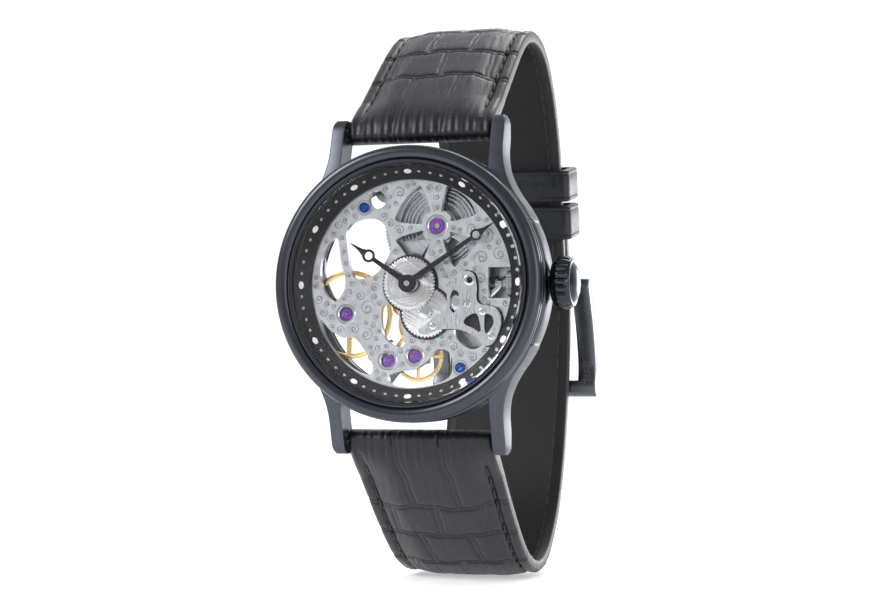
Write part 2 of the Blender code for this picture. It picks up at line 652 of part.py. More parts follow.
def escape_outline(phase):
    """Club teeth that lean forward."""
    outline = []
    for index in range(ESCAPE_TEETH):
        angle = phase + TURN * index / ESCAPE_TEETH
        for radius, turn in ((1.75, 0.0), (2.2, 0.16), (2.3, 0.22), (1.75, 0.13)):
            outline.append((ESCAPE[0] + radius * math.cos(angle + turn),
                            ESCAPE[1] + radius * math.sin(angle + turn)))
    return outline


def make_escapement():
    line = direction(PALLET, ESCAPE)
    across = line + math.pi / 2

    def place(along, side):
        return (PALLET[0] + along * math.cos(line) + side * math.cos(across),
                PALLET[1] + along * math.sin(line) + side * math.sin(across))

    back = direction(PALLET, BALANCE)

    def lever(along, side):
        return (PALLET[0] + along * math.cos(back) - side * math.sin(back),
                PALLET[1] + along * math.sin(back) + side * math.cos(back))

    reach = distance(PALLET, BALANCE) - 1.55
    outline = [place(0.55, -1.9), place(1.0, -2.0), place(0.9, -1.6), place(0.45, -0.6), place(0.45, 0.6),
               place(0.9, 1.6), place(1.0, 2.0), place(0.55, 1.9), place(0.0, 0.7),
               lever(0.9, -0.2), lever(reach - 0.7, -0.15), lever(reach - 0.35, -0.55), lever(reach, -0.5),
               lever(reach - 0.2, -0.18), lever(reach - 0.2, 0.18), lever(reach, 0.5),
               lever(reach - 0.35, 0.55), lever(reach - 0.7, 0.15), lever(0.9, 0.2), place(0.0, -0.7)]
    fork = plate("pallet_fork", [outline], ESCAPE_LEVEL, POLISHED_STEEL)
    set_origin(fork, PALLET[0], -ESCAPE_LEVEL[0], PALLET[1])
    combine(fork, turned(guide_name("pallet_fork", 0), rod_profile([(0.15, 3.3, 4.0), (0.3, 4.0, 4.6)]),
                         POLISHED_STEEL, PALLET, 10), "UNION")

    rim_outer = 6.4
    rim_inner = 5.7
    loops = [circle(BALANCE, rim_outer, 32)] + crossings(BALANCE, 1.0, rim_inner, 3, 0.5, 0.8)
    balance = plate("balance_wheel", loops, BALANCE_LEVEL, GILT)
    set_origin(balance, BALANCE[0], -BALANCE_LEVEL[0], BALANCE[1])
    staff = rod_profile([(0.22, BRIDGE_LEVEL[0] + 0.3, 3.4), (0.35, 3.4, 4.15), (1.0, 4.45, 4.6),
                         (0.35, 4.6, 5.6), (0.15, 5.6, PLATE_LEVEL[0] + 0.6)])
    combine(balance, turned(guide_name("balance_wheel", 0), staff, GILT, BALANCE, 16), "UNION")

    spiral = []
    turns = 3
    steps = 12 * turns
    for index in range(steps + 1):
        angle = direction(BALANCE, COCK_POSTS[0]) + TURN * turns * (index / steps - 1)
        radius = 0.75 + 1.9 * index / steps
        spiral.append((angle, radius))
    half = 0.05
    outline = []
    for angle, radius in spiral:
        reach = radius + half
        outline.append((BALANCE[0] + reach * math.cos(angle), BALANCE[1] + reach * math.sin(angle)))
    for angle, radius in reversed(spiral):
        reach = radius - half
        outline.append((BALANCE[0] + reach * math.cos(angle), BALANCE[1] + reach * math.sin(angle)))
    plate("hairspring", [outline], (3.6, 3.8), BLUED)


def make_motion_works():
    cannon_radius, minute_radius = pitch_radii(CENTRE, MINUTE, CANNON_TEETH, MINUTE_TEETH)
    pinion_radius, hour_radius = pitch_radii(MINUTE, CENTRE, MINUTE_PINION_TEETH, HOUR_TEETH)
    cannon = plate("cannon_pinion",
                   [gear_outline(CENTRE, cannon_radius, CANNON_TEETH, 0), circle(CENTRE, 0.56, 16)],
                   (MINUTE_WHEEL_LEVEL[0], MINUTE_WHEEL_LEVEL[1] + 0.1), SATIN_STEEL)
    set_origin(cannon, 0, -MINUTE_WHEEL_LEVEL[0], 0)
    combine(cannon, turned(guide_name("cannon_pinion", 0), tube_profile(0.58, 0.8, 7.3, 8.68), SATIN_STEEL,
                           CENTRE, 16), "UNION")
    minute_phase = meshing_phase(CENTRE, CANNON_TEETH, 0, MINUTE, MINUTE_TEETH)
    minute = plate("minute_wheel", [gear_outline(MINUTE, minute_radius, MINUTE_TEETH, minute_phase)],
                   MINUTE_WHEEL_LEVEL, SATIN_STEEL)
    set_origin(minute, MINUTE[0], -MINUTE_WHEEL_LEVEL[0], MINUTE[1])
    combine(minute, turned(guide_name("minute_wheel", 0), rod_profile([(0.22, 6.3, 7.2), (0.5, 7.2, 7.4)]),
                           SATIN_STEEL, MINUTE, 12), "UNION")
    pinion = plate(guide_name("minute_wheel", 1),
                   [gear_outline(MINUTE, pinion_radius, MINUTE_PINION_TEETH, 0)],
                   (MINUTE_WHEEL_LEVEL[1] - 0.05, HOUR_WHEEL_LEVEL[1] + 0.05), SATIN_STEEL)
    combine(minute, pinion, "UNION")

    hour_phase = meshing_phase(MINUTE, MINUTE_PINION_TEETH, 0, CENTRE, HOUR_TEETH)
    hour = plate("hour_wheel",
                 [gear_outline(CENTRE, hour_radius, HOUR_TEETH, hour_phase), circle(CENTRE, 0.9, 16)],
                 HOUR_WHEEL_LEVEL, SATIN_STEEL)
    set_origin(hour, 0, -HOUR_WHEEL_LEVEL[0], 0)
    combine(hour, turned(guide_name("hour_wheel", 0), tube_profile(0.92, 1.1, 7.7, 8.26), SATIN_STEEL,
                         CENTRE, 20), "UNION")

    _, setting_radius = pitch_radii(MINUTE, SETTING, MINUTE_TEETH, SETTING_TEETH)
    setting_phase = meshing_phase(MINUTE, MINUTE_TEETH, minute_phase, SETTING, SETTING_TEETH)
    setting = plate("setting_wheel", [gear_outline(SETTING, setting_radius, SETTING_TEETH, setting_phase)],
                    MINUTE_WHEEL_LEVEL, SATIN_STEEL)
    set_origin(setting, SETTING[0], -MINUTE_WHEEL_LEVEL[0], SETTING[1])
    combine(setting, turned(guide_name("setting_wheel", 0), rod_profile([(0.22, 6.3, 7.2), (0.5, 7.2, 7.45)]),
                            SATIN_STEEL, SETTING, 12), "UNION")


# How far round the eye its outline goes on each side, from the hub to the tip.
EYE_SWEEP = 0.80 * math.pi


def pomme_hand(name, length, eye_distance, eye_radius, clock_angle, level, hole, material):
    """A slim hand with an open round eye near its tip; clock_angle is clockwise from 12."""
    hub = 1.25
    root_half = 0.4
    neck_half = 0.30
    shoulder = eye_distance + eye_radius * 1.05
    spade = eye_distance + eye_radius * 1.6
    eye_hole = eye_radius * 0.62
    base = math.acos(root_half / hub)
    steps = 14
    outline = []
    for index in range(steps + 1):
        angle = math.pi / 2 + (math.pi / 2 - base) + (TURN - 2 * (math.pi / 2 - base)) * index / steps
        outline.append((hub * math.cos(angle), hub * math.sin(angle)))
    eye_gap = math.asin(neck_half / eye_radius)
    for index in range(6):
        angle = -math.pi / 2 + eye_gap + (EYE_SWEEP - eye_gap) * index / 5
        outline.append((eye_radius * math.cos(angle), eye_distance + eye_radius * math.sin(angle)))
    outline += [(0.50, shoulder), (0.30, spade), (0.06, length)]
    outline += [(-0.06, length), (-0.30, spade), (-0.50, shoulder)]
    for index in range(6):
        angle = -math.pi / 2 - EYE_SWEEP + (EYE_SWEEP - eye_gap) * index / 5
        outline.append((eye_radius * math.cos(angle), eye_distance + eye_radius * math.sin(angle)))
    turn = -clock_angle
    loops = [outline, circle((0, eye_distance), eye_hole, 12), circle((0, 0), hole, 16)]
    placed = [[(x * math.cos(turn) - z * math.sin(turn), x * math.sin(turn) + z * math.cos(turn))
               for x, z in loop] for loop in loops]
    hand = plate(name, placed, level, material)
    set_origin(hand, 0, -level[0], 0)


def make_hands():
    pomme_hand("hour_hand", 10.4, 7.1, 0.95, HOUR_HAND_ANGLE, HOUR_HAND_LEVEL, 0.9, DIAL_BLACK)
    pomme_hand("minute_hand", 15.2, 12.2, 0.85, MINUTE_HAND_ANGLE, MINUTE_HAND_LEVEL, 0.45, DIAL_BLACK)


# ---------------------------------------------------------------- winding and setting work
def make_crown():
    """A fluted crown with a domed end, hollowed for the crown tube."""
    stations = [(1.25, 0.9, 0), (1.25, 0.0, 0), (2.7, 0.0, 0), (3.2, 0.35, 0), (CROWN_RADIUS, 1.0, 0.32),
                (CROWN_RADIUS, 2.5, 0.32), (3.1, 3.1, 0), (2.3, 3.5, 0), (1.2, 3.75, 0)]
    segments = 2 * CROWN_FLUTES
    points = [(CROWN_START_X + 0.9, -STEM_HEIGHT, 0)]
    for radius, along, flute in stations:
        for index in range(segments):
            angle = TURN * index / segments
            local = radius - (flute if index % 2 else 0)
            points.append((CROWN_START_X + along, -STEM_HEIGHT + local * math.cos(angle),
                           local * math.sin(angle)))
    points.append((CROWN_START_X + 3.8, -STEM_HEIGHT, 0))
    faces = []
    for step in range(segments):
        after = (step + 1) % segments
        faces.append((0, 1 + step, 1 + after))
        for ring in range(len(stations) - 1):
            low = 1 + ring * segments
            high = low + segments
            faces.append((low + step, high + step, high + after, low + after))
        last = 1 + (len(stations) - 1) * segments
        faces.append((len(points) - 1, last + after, last + step))
    crown = add_object("crown", points, faces, BLACK_STEEL)
    set_origin(crown, CROWN_START_X, -STEM_HEIGHT, 0)


def toothed_on_x(name, teeth, pitch_radius, x_low, x_high, bore, material):
    """A pinion on the stem: teeth in the (y, z) plane, thick along X."""
    loops = [gear_outline((0, 0), pitch_radius, teeth, 0), circle((0, 0), bore, 16)]
    points, faces = extrude_loops(loops, x_low, x_high)
    placed = [(-y, x - STEM_HEIGHT, z) for x, y, z in points]
    return add_object(name, placed, faces, material)


def make_winding_work():
    make_crown()
    steps = [(0.35, 10.0, 11.4), (STEM_RADIUS, 11.4, 15.6), (0.3, 15.6, 16.1), (STEM_RADIUS, 16.1, 21.15)]
    stem = turned_on_x("winding_stem", rod_profile(steps),
                       POLISHED_STEEL, -STEM_HEIGHT, 0, 16)
    set_origin(stem, 14.0, -STEM_HEIGHT, 0)
    pinion = toothed_on_x("winding_pinion", 16, 1.72, 13.7, 15.3, 0.5, POLISHED_STEEL)
    set_origin(pinion, 14.5, -STEM_HEIGHT, 0)
    clutch = turned_on_x("sliding_clutch", [(0.5, 12.0), (1.05, 12.0), (1.05, 12.5), (0.72, 12.5),
                                            (0.72, 13.1),
                                            (1.05, 13.1), (1.05, 13.6), (0.5, 13.6)],
                         POLISHED_STEEL, -STEM_HEIGHT, 0, 20)
    set_origin(clutch, 12.8, -STEM_HEIGHT, 0)

    crown_wheel_radius, ratchet_radius = pitch_radii(CROWN_WHEEL, BARREL, CROWN_WHEEL_TEETH, RATCHET_TEETH)
    crown_wheel = plate("crown_wheel", [gear_outline(CROWN_WHEEL, crown_wheel_radius, CROWN_WHEEL_TEETH, 0)],
                        RATCHET_LEVEL, SATIN_STEEL)
    set_origin(crown_wheel, CROWN_WHEEL[0], -RATCHET_LEVEL[0], CROWN_WHEEL[1])
    combine(crown_wheel, turned(guide_name("crown_wheel", 0), rod_profile([(0.8, 2.0, 3.1)]), SATIN_STEEL,
                                CROWN_WHEEL, 16), "UNION")
    phase = meshing_phase(CROWN_WHEEL, CROWN_WHEEL_TEETH, 0, BARREL, RATCHET_TEETH)
    ratchet = plate("ratchet_wheel", [gear_outline(BARREL, ratchet_radius, RATCHET_TEETH, phase)],
                    RATCHET_LEVEL, SATIN_STEEL)
    set_origin(ratchet, BARREL[0], -RATCHET_LEVEL[0], BARREL[1])
    turned("barrel_arbor", rod_profile([(0.85, 2.17, 5.8), (0.42, 5.8, 6.95)]), POLISHED_STEEL, BARREL, 16)

    line = direction(CLICK, BARREL)
    beak = distance(CLICK, BARREL) - ratchet_radius - 0.3

    def click_point(along, side):
        return (CLICK[0] + along * math.cos(line) - side * math.sin(line),
                CLICK[1] + along * math.sin(line) + side * math.cos(line))

    click_outline = [click_point(0.7 * math.cos(a), 0.7 * math.sin(a))
                     for a in [math.radians(d) for d in range(40, 321, 28)]]
    click_outline += [click_point(beak - 0.5, -0.25), click_point(beak, 0.1), click_point(beak - 0.5, 0.3)]
    click = plate("click", [click_outline], RATCHET_LEVEL, SATIN_STEEL)
    set_origin(click, CLICK[0], -RATCHET_LEVEL[0], CLICK[1])

    lever = plate("setting_lever", [[(12.6, 4.4), (12.7, 3.6), (13.4, 3.3), (15.4, 2.2), (15.6, 0.4),
                                     (15.65, -0.25),
                                     (16.05, -0.25), (16.1, 0.6), (15.9, 2.6), (14.0, 4.0), (13.5, 4.6)]],
                  (5.35, 5.6), SATIN_STEEL)
    set_origin(lever, SETTING_LEVER[0], -5.35, SETTING_LEVER[1])
    combine(lever, turned(guide_name("setting_lever", 0), rod_profile([(0.14, 4.66, 5.45)]), SATIN_STEEL,
                          (15.85, 0.0), 8), "UNION")
    yoke = plate("yoke", [[(9.0, -3.8), (9.4, -2.9), (11.4, -1.2), (12.55, -0.3), (12.6, 0.2), (13.0, 0.2),
                           (13.05, -0.5), (11.9, -1.8), (10.3, -3.2), (9.8, -4.0)]], (5.5, 5.75), SATIN_STEEL)
    set_origin(yoke, YOKE[0], -5.5, YOKE[1])
    post_profile = rod_profile([(0.14, 5.12, 5.6)])
    combine(yoke, turned(guide_name("yoke", 0), post_profile, SATIN_STEEL, (12.8, 0.0), 8),
            "UNION")


def make_mainspring():
    points = []
    turns = 3
    steps = 12 * turns
    half = 0.08
    for index in range(steps + 1):
        points.append((TURN * turns * index / steps, 3.4 + 3.5 * index / steps))
    outline = [(BARREL[0] + (r + half) * math.cos(a), BARREL[1] + (r + half) * math.sin(a))
               for a, r in points]
    outline += [(BARREL[0] + (r - half) * math.cos(a), BARREL[1] + (r - half) * math.sin(a))
                for a, r in reversed(points)]
    plate("mainspring", [outline], (4.3, 5.15), SPRING_STEEL)


# ---------------------------------------------------------------- strap
def catmull(points, steps):
    """A smooth curve through (y, z) points."""
    padded = [points[0]] + list(points) + [points[-1]]
    curve = []
    for index in range(1, len(padded) - 2):
        before, start, end, after = [Vector(p) for p in padded[index - 1:index + 3]]
        for step in range(steps):
            t = step / steps
            linear = end - before
            square = 2 * before - 5 * start + 4 * end - after
            cube = 3 * start - before - 3 * end + after
            curve.append(0.5 * (2 * start + linear * t + square * t * t + cube * t ** 3))
    curve.append(Vector(points[-1]))
    return curve


def strap(name, outer_points, round_tip, inward):
    """A strap whose outer face follows (y, z) points; its section is flat, with bevelled front edges."""
    curve = catmull(outer_points, STRAP_STEPS)
    lengths = [0.0]
    for before, after in zip(curve, curve[1:]):
        lengths.append(lengths[-1] + (after - before).length)
    total = lengths[-1]
    points = []
    for index, spot in enumerate(curve):
        ahead = curve[min(index + 1, len(curve) - 1)]
        behind = curve[max(index - 1, 0)]
        tangent = (ahead - behind).normalized()
        normal = Vector((-tangent.y, tangent.x)) * inward
        thickness = strap_thickness(lengths[index])
        width = strap_half_width(lengths[index])
        if round_tip:
            width *= tip_narrowing(total - lengths[index])
        bevel = 0.3 * thickness
        for x, depth in ((-width, bevel), (-width + bevel, 0), (width - bevel, 0), (width, bevel),
                         (width, thickness), (-width, thickness)):
            place = spot + normal * depth
            points.append((x, place.x, place.y))
    faces = [tuple(range(6)), tuple(range(len(points) - 6, len(points)))]
    for row in range(len(curve) - 1):
        for step in range(6):
            after = (step + 1) % 6
            faces.append((row * 6 + step, row * 6 + after, (row + 1) * 6 + after, (row + 1) * 6 + step))
    return add_object(name, points, faces, LEATHER)


# The outer faces of the two halves, as (y, z): from the lug to the buckle, and from the lug to the tip.
# Between z = 0.9 and z = 24.5 the upper half is straight, and the tip of the lower half lies on it.
UPPER_OUTER = [(-3.5, 20.9), (-3.35, 22.6), (-1.9, 25.4), (3.4, 29.9), (9.1, 34.2), (15.0, 38.4),
               (20.5, 41.2), (27.0, 42.0), (33.5, 40.2), (39.0, 35.8), (43.0, 30.2), (45.6, 24.5),
               (46.84, 18.0), (48.18, 11.0), (49.4, 4.6), (50.1, 0.9)]
LOWER_OUTER = [(-3.5, -20.9), (-3.35, -22.6), (-1.9, -25.4), (3.4, -30.6), (9.1, -35.4), (15.0, -39.8),
               (20.5, -42.8), (27.0, -44.2), (33.5, -42.9), (39.0, -39.3), (43.6, -34.4), (47.2, -28.0),
               (49.8, -20.5), (51.6, -13.0), (52.6, -6.0), (52.9, 0.0), (51.88, 6.0), (50.74, 12.0),
               (49.35, 19.3)]
REAR_SLOPE = math.atan2(45.6 - 50.1, 24.5 - 0.9)
LAYER_GAP = 0.3
BUCKLE_BAR = (48.75, 2.2)
BUCKLE_BAR_RADIUS = 0.7
BUCKLE_HALF_WIDTH = 14.2
BUCKLE_OPENING_HALF_WIDTH = 11.2


def strap_thickness(along):
    """Padded near the lug, then thin."""
    padding = max(0.0, 1 - along / STRAP_PADDING_LENGTH)
    return STRAP_THIN_THICKNESS + (STRAP_PADDED_THICKNESS - STRAP_THIN_THICKNESS) * padding


def strap_half_width(along):
    taper = max(0.0, min(1.0, (along - STRAP_TAPER_START) / STRAP_TAPER_LENGTH))
    return STRAP_HALF_WIDTH + (STRAP_END_HALF_WIDTH - STRAP_HALF_WIDTH) * taper


def tip_narrowing(left):
    """How much the long half narrows towards its rounded tip, with that much of its length left."""
    short = max(0.0, 1 - left / STRAP_TIP_LENGTH)
    return 0.35 + 0.65 * math.sqrt(1 - short ** 2)


def rear_point(z, outward):
    """A (y, z) point that far out from the outer face of the upper half, opposite height z."""
    y = 50.1 + (z - 0.9) * math.tan(REAR_SLOPE)
    return (y + outward * math.cos(REAR_SLOPE), z - outward * math.sin(REAR_SLOPE))


def keeper(name, z_low, z_high):
    """A leather loop round both layers of the strap."""
    half = STRAP_END_HALF_WIDTH + KEEPER_SIDE_GAP
    inside = -STRAP_THIN_THICKNESS - KEEPER_INNER_GAP
    outside = STRAP_THIN_THICKNESS + LAYER_GAP + KEEPER_OUTER_GAP
    points = []
    for z in (z_low, z_high):
        for grow in (0.0, KEEPER_WALL):
            for x, outward in ((-half - grow, inside - grow), (half + grow, inside - grow),
                               (half + grow, outside + grow), (-half - grow, outside + grow)):
                y, height = rear_point(z, outward)
                points.append((x, y, height))
    faces = []
    for step in range(4):
        after = (step + 1) % 4
        faces.append((step, after, after + 8, step + 8))
        faces.append((step + 4, after + 4, after + 12, step + 12))
        faces.append((step, after, after + 4, step + 4))
        faces.append((step + 8, after + 8, after + 12, step + 12))
    return add_object(name, points, faces, LEATHER)


def bar_cutter(name, y, z, radius, half_length, material):
    return turned_on_x(name, rod_profile([(radius, -half_length, half_length)]), material, y, z, 12)


def block(name, x_range, y_range, z_range, material):
    points = [(x, y, z) for x in x_range for y in y_range for z in z_range]
    faces = [(0, 1, 3, 2), (4, 5, 7, 6), (0, 1, 5, 4), (2, 3, 7, 6), (0, 2, 6, 4), (1, 3, 7, 5)]
    return add_object(name, points, faces, material)


def make_straps():
    upper = strap("upper_strap", UPPER_OUTER, False, -1)
    lower = strap("lower_strap", LOWER_OUTER, True, 1)
    combine(upper, bar_cutter(guide_name("upper_strap", 0), -SPRING_BAR_HEIGHT, SPRING_BAR_Z,
                              SPRING_BAR_RADIUS + 0.1, 14, LEATHER), "DIFFERENCE")
    combine(upper, bar_cutter(guide_name("upper_strap", 1), *BUCKLE_BAR, BUCKLE_BAR_RADIUS + 0.1, 14,
                              LEATHER), "DIFFERENCE")
    combine(upper, block(guide_name("upper_strap", 2), (-1.5, 1.5), (45.0, 55.0), (-2.0, 4.3), LEATHER),
            "DIFFERENCE")
    combine(lower, bar_cutter(guide_name("lower_strap", 0), -SPRING_BAR_HEIGHT, -SPRING_BAR_Z,
                              SPRING_BAR_RADIUS + 0.1, 14, LEATHER), "DIFFERENCE")
    combine(lower, block(guide_name("lower_strap", 1), (-0.9, 0.9), (45.0, 58.0), (-4.6, 2.8), LEATHER),
            "DIFFERENCE")
    keeper("fixed_keeper", 10.4, 15.9)
    free = keeper("free_keeper", 16.6, 21.8)
    set_origin(free, 0, *rear_point(19.2, 0))


def make_buckle():
    y, z = BUCKLE_BAR
    bar = turned_on_x("buckle_bar", rod_profile([(0.4, -12.3, -11.1), (BUCKLE_BAR_RADIUS, -10.9, 10.9),
                                                 (0.4, 11.1, 12.3)]), SATIN_STEEL, y, z, 12)
    set_origin(bar, 0, y, z)
    arm = [(47.7, 2.2), (48.2, 3.3), (49.3, 3.4), (50.4, 2.4), (53.2, -4.0), (54.9, -11.0), (55.1, -14.6),
           (54.3, -16.2), (52.9, -15.6), (52.6, -14.0), (53.1, -11.0), (51.4, -5.0), (48.3, 1.0)]
    frame = side_plate("buckle_frame", arm, -BUCKLE_HALF_WIDTH, BUCKLE_HALF_WIDTH, BLACK_STEEL)
    set_origin(frame, 0, y, z)
    opening = block(guide_name("buckle_frame", 0), (-BUCKLE_OPENING_HALF_WIDTH, BUCKLE_OPENING_HALF_WIDTH),
                    (44.0, 60.0), (-13.9, 6.0), BLACK_STEEL)
    combine(frame, opening, "DIFFERENCE")
    combine(frame, bar_cutter(guide_name("buckle_frame", 1), y, z, 0.5, 12.5, BLACK_STEEL), "DIFFERENCE")
    tongue_side = [(48.75, 3.35), (49.7, 3.0), (50.2, 2.0), (52.2, -0.6), (53.7, -3.0), (55.75, -12.0),
                   (56.1, -15.2), (55.6, -16.6), (55.3, -16.4), (55.4, -12.6), (53.2, -4.2), (51.2, -1.6),
                   (49.2, 1.1), (48.2, 1.15), (47.6, 1.8), (47.7, 2.9)]
    tongue = side_plate("buckle_tongue", tongue_side, -0.6, 0.6, BLACK_STEEL)
    set_origin(tongue, 0, y, z)
    combine(tongue, bar_cutter(guide_name("buckle_tongue", 0), y, z, BUCKLE_BAR_RADIUS + 0.08, 3,
                               BLACK_STEEL), "DIFFERENCE")


make_case()
make_mainplate()
make_bridges()
make_keyless_cover()
make_screws()
make_going_train()
make_escapement()
make_motion_works()
make_hands()
make_winding_work()
make_mainspring()
make_straps()
make_buckle()
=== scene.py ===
"""Looks of the skeleton wristwatch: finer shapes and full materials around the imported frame.

Lengths are in millimetres in the helpers below, and heights are distances in front of the case back.
"""
import bmesh
import bpy
import math
import random
import numpy as np
from mathutils import Matrix, Vector
from mathutils.geometry import tessellate_polygon


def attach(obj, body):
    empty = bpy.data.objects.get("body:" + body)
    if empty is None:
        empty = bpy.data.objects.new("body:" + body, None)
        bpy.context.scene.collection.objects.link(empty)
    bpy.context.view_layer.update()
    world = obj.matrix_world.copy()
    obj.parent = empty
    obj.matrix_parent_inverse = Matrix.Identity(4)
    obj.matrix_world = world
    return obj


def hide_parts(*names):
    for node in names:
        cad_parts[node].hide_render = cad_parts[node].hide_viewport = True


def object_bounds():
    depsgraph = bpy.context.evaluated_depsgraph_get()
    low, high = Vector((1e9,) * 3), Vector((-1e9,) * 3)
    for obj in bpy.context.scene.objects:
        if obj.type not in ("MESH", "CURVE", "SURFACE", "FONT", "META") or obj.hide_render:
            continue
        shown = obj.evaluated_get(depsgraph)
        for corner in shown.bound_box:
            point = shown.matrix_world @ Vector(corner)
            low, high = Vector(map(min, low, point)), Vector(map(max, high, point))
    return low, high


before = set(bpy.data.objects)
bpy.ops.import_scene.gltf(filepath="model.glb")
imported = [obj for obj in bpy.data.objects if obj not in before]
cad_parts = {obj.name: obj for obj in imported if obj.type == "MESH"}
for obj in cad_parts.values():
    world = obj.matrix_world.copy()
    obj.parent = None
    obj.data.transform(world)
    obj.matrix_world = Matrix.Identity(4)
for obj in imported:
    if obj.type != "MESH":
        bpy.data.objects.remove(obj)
CAD_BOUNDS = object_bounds()
MM = 0.001
TURN = 2 * math.pi
random.seed(7)


# ---------------------------------------------------------------- camera, floor and light
DIAL_HEIGHT = 8.4
CAMERA_AZIMUTH = math.radians(17.0)
CAMERA_ELEVATION = math.radians(-3.0)
CAMERA_DISTANCE = 300.0
CAMERA_LENS = 86.7
CAMERA_SHIFT = (0.0319, -0.0189)
WORLD_LIGHT = 0.55
WORLD_SEEN = 1.0
LAMPS = (  # name, place, size and power
    ("key", (-290, -240, 230), 220, 1.35),
    ("fill", (330, -170, 60), 200, 0.3),
    ("rim", (60, 260, 320), 200, 0.5),
    ("flank", (190, 400, 0), 220, 0.6),
)


def make_floor():
    """A pale floor that sweeps up into a wall behind the watch."""
    low = CAD_BOUNDS[0][2] / MM - 0.05
    profile = [(-900, low), (400, low)]
    for step in range(1, 9):
        angle = math.pi / 2 * step / 8
        profile.append((400 + 250 * math.sin(angle), low + 250 * (1 - math.cos(angle))))
    profile.append((650, 1400))
    points = [(x, y, z) for y, z in profile for x in (-1500, 1500)]
    faces = [(2 * i, 2 * i + 1, 2 * i + 3, 2 * i + 2) for i in range(len(profile) - 1)]
    floor = add_mesh("studio_floor", points, faces, PALE_FLOOR)


def make_camera():
    data = bpy.data.cameras.new("camera")
    data.lens = CAMERA_LENS
    data.sensor_width = 36.0
    data.shift_x, data.shift_y = CAMERA_SHIFT
    data.clip_start = 0.01
    camera = link_object("camera", data)
    target = Vector((0, -DIAL_HEIGHT, 0)) * MM
    away = Vector((math.sin(CAMERA_AZIMUTH) * math.cos(CAMERA_ELEVATION),
                   -math.cos(CAMERA_AZIMUTH) * math.cos(CAMERA_ELEVATION),
                   math.sin(CAMERA_ELEVATION)))
    camera.location = target + away * CAMERA_DISTANCE * MM
    camera.rotation_euler = (-away).to_track_quat("-Z", "Y").to_euler()
    bpy.context.scene.camera = camera
    bpy.context.scene.view_settings.view_transform = "Standard"


def make_studio():
    """The floor, four soft lamps and a white surround that lights the watch less than it shows."""
    make_floor()
    world = bpy.data.worlds.new("studio")
    world.use_nodes = True
    nodes = world.node_tree.nodes
    link = world.node_tree.links.new
    seen = nodes.new("ShaderNodeBackground")
    for shader, strength in ((nodes["Background"], WORLD_LIGHT), (seen, WORLD_SEEN)):
        shader.inputs["Color"].default_value = (1, 1, 1, 1)
        shader.inputs["Strength"].default_value = strength
    rays = nodes.new("ShaderNodeLightPath")
    blend = nodes.new("ShaderNodeMixShader")
    link(rays.outputs["Is Camera Ray"], blend.inputs["Fac"])
    link(nodes["Background"].outputs["Background"], blend.inputs[1])
    link(seen.outputs["Background"], blend.inputs[2])
    link(blend.outputs["Shader"], nodes["World Output"].inputs["Surface"])
    bpy.context.scene.world = world
    for name, place, size, power in LAMPS:
        light = bpy.data.lights.new(name, "AREA")
        light.shape = "DISK"
        light.size = size * MM
        light.energy = power
        lamp = link_object(name, light)
        lamp.location = Vector(place) * MM
        lamp.rotation_euler = (-lamp.location).to_track_quat("-Z", "Y").to_euler()


# ---------------------------------------------------------------- mesh helpers
def add_mesh(name, points, faces, material, sharp=35):
    mesh = bpy.data.meshes.new(name)
    mesh.from_pydata([Vector(point) * MM for point in points], [], faces)
    rework(mesh, lambda shell: bmesh.ops.recalc_face_normals(shell, faces=shell.faces))
    mesh.materials.append(material)
    return show(name, mesh, sharp)


def link_object(name, data):
    made = bpy.data.objects.new(name, data)
    bpy.context.collection.objects.link(made)
    return made


def rework(mesh, change):
    """Runs one bmesh change on a mesh."""
    shell = bmesh.new()
    shell.from_mesh(mesh)
    change(shell)
    shell.to_mesh(mesh)
    shell.free()


def show(name, mesh, sharp=35):
    mesh.shade_smooth()
    mesh.set_sharp_from_angle(angle=math.radians(sharp))
    return link_object(name, mesh)


def settle(made, body, slot, *nodes):
    """The piece rides on its body and stands for those CAD nodes; slot is not used."""
    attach(made, body)
    if nodes:
        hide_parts(*nodes)
    return made


def bevel(made, width=0.05, segments=2, angle=40):
    modifier = made.modifiers.new("bevel", "BEVEL")
    modifier.width = width * MM
    modifier.segments = segments
    modifier.limit_method = "ANGLE"
    modifier.angle_limit = math.radians(angle)
    return apply_modifiers(made)


def apply_modifiers(made):
    graph = bpy.context.evaluated_depsgraph_get()
    mesh = bpy.data.meshes.new_from_object(made.evaluated_get(graph))
    made.modifiers.clear()
    made.data = mesh
    return made


def combine(base, tool, operation="DIFFERENCE"):
    """Boolean with another mesh, which is used up."""
    modifier = base.modifiers.new("join", "BOOLEAN")
    modifier.operation = operation
    modifier.solver = "EXACT"
    modifier.object = tool
    apply_modifiers(base)
    bpy.data.objects.remove(tool, do_unlink=True)
    return base


def join(name, objects):
    """One mesh object from several."""
    points, faces, slots, materials = [], [], [], []
    for made in objects:
        start = len(points)
        points += [tuple(vertex.co) for vertex in made.data.vertices]
        for polygon in made.data.polygons:
            faces.append([start + index for index in polygon.vertices])
            material = made.data.materials[polygon.material_index]
            if material not in materials:
                materials.append(material)
            slots.append(materials.index(material))
        bpy.data.objects.remove(made, do_unlink=True)
    mesh = bpy.data.meshes.new(name)
    mesh.from_pydata(points, [], faces)
    for material in materials:
        mesh.materials.append(material)
    mesh.polygons.foreach_set("material_index", slots)
    return show(name, mesh)


def skin(rows, count, start=0, closed=False, capped=True):
    """Faces between neighbouring rows of points, with the end rows as caps or joined to each other."""
    last = start + (rows - 1) * count
    faces = [tuple(range(first, first + count)) for first in (start, last) if capped and not closed]
    for row in range(rows if closed else rows - 1):
        low, high = start + row * count, start + (row + 1) % rows * count
        for step in range(count):
            after = (step + 1) % count
            faces.append((low + step, low + after, high + after, high + step))
    return faces


def flattened(made):
    """The same mesh with its flat faces as whole polygons."""
    rework(made.data, lambda shell: bmesh.ops.dissolve_limit(
        shell, angle_limit=0.01, verts=shell.verts, edges=shell.edges))
    return made


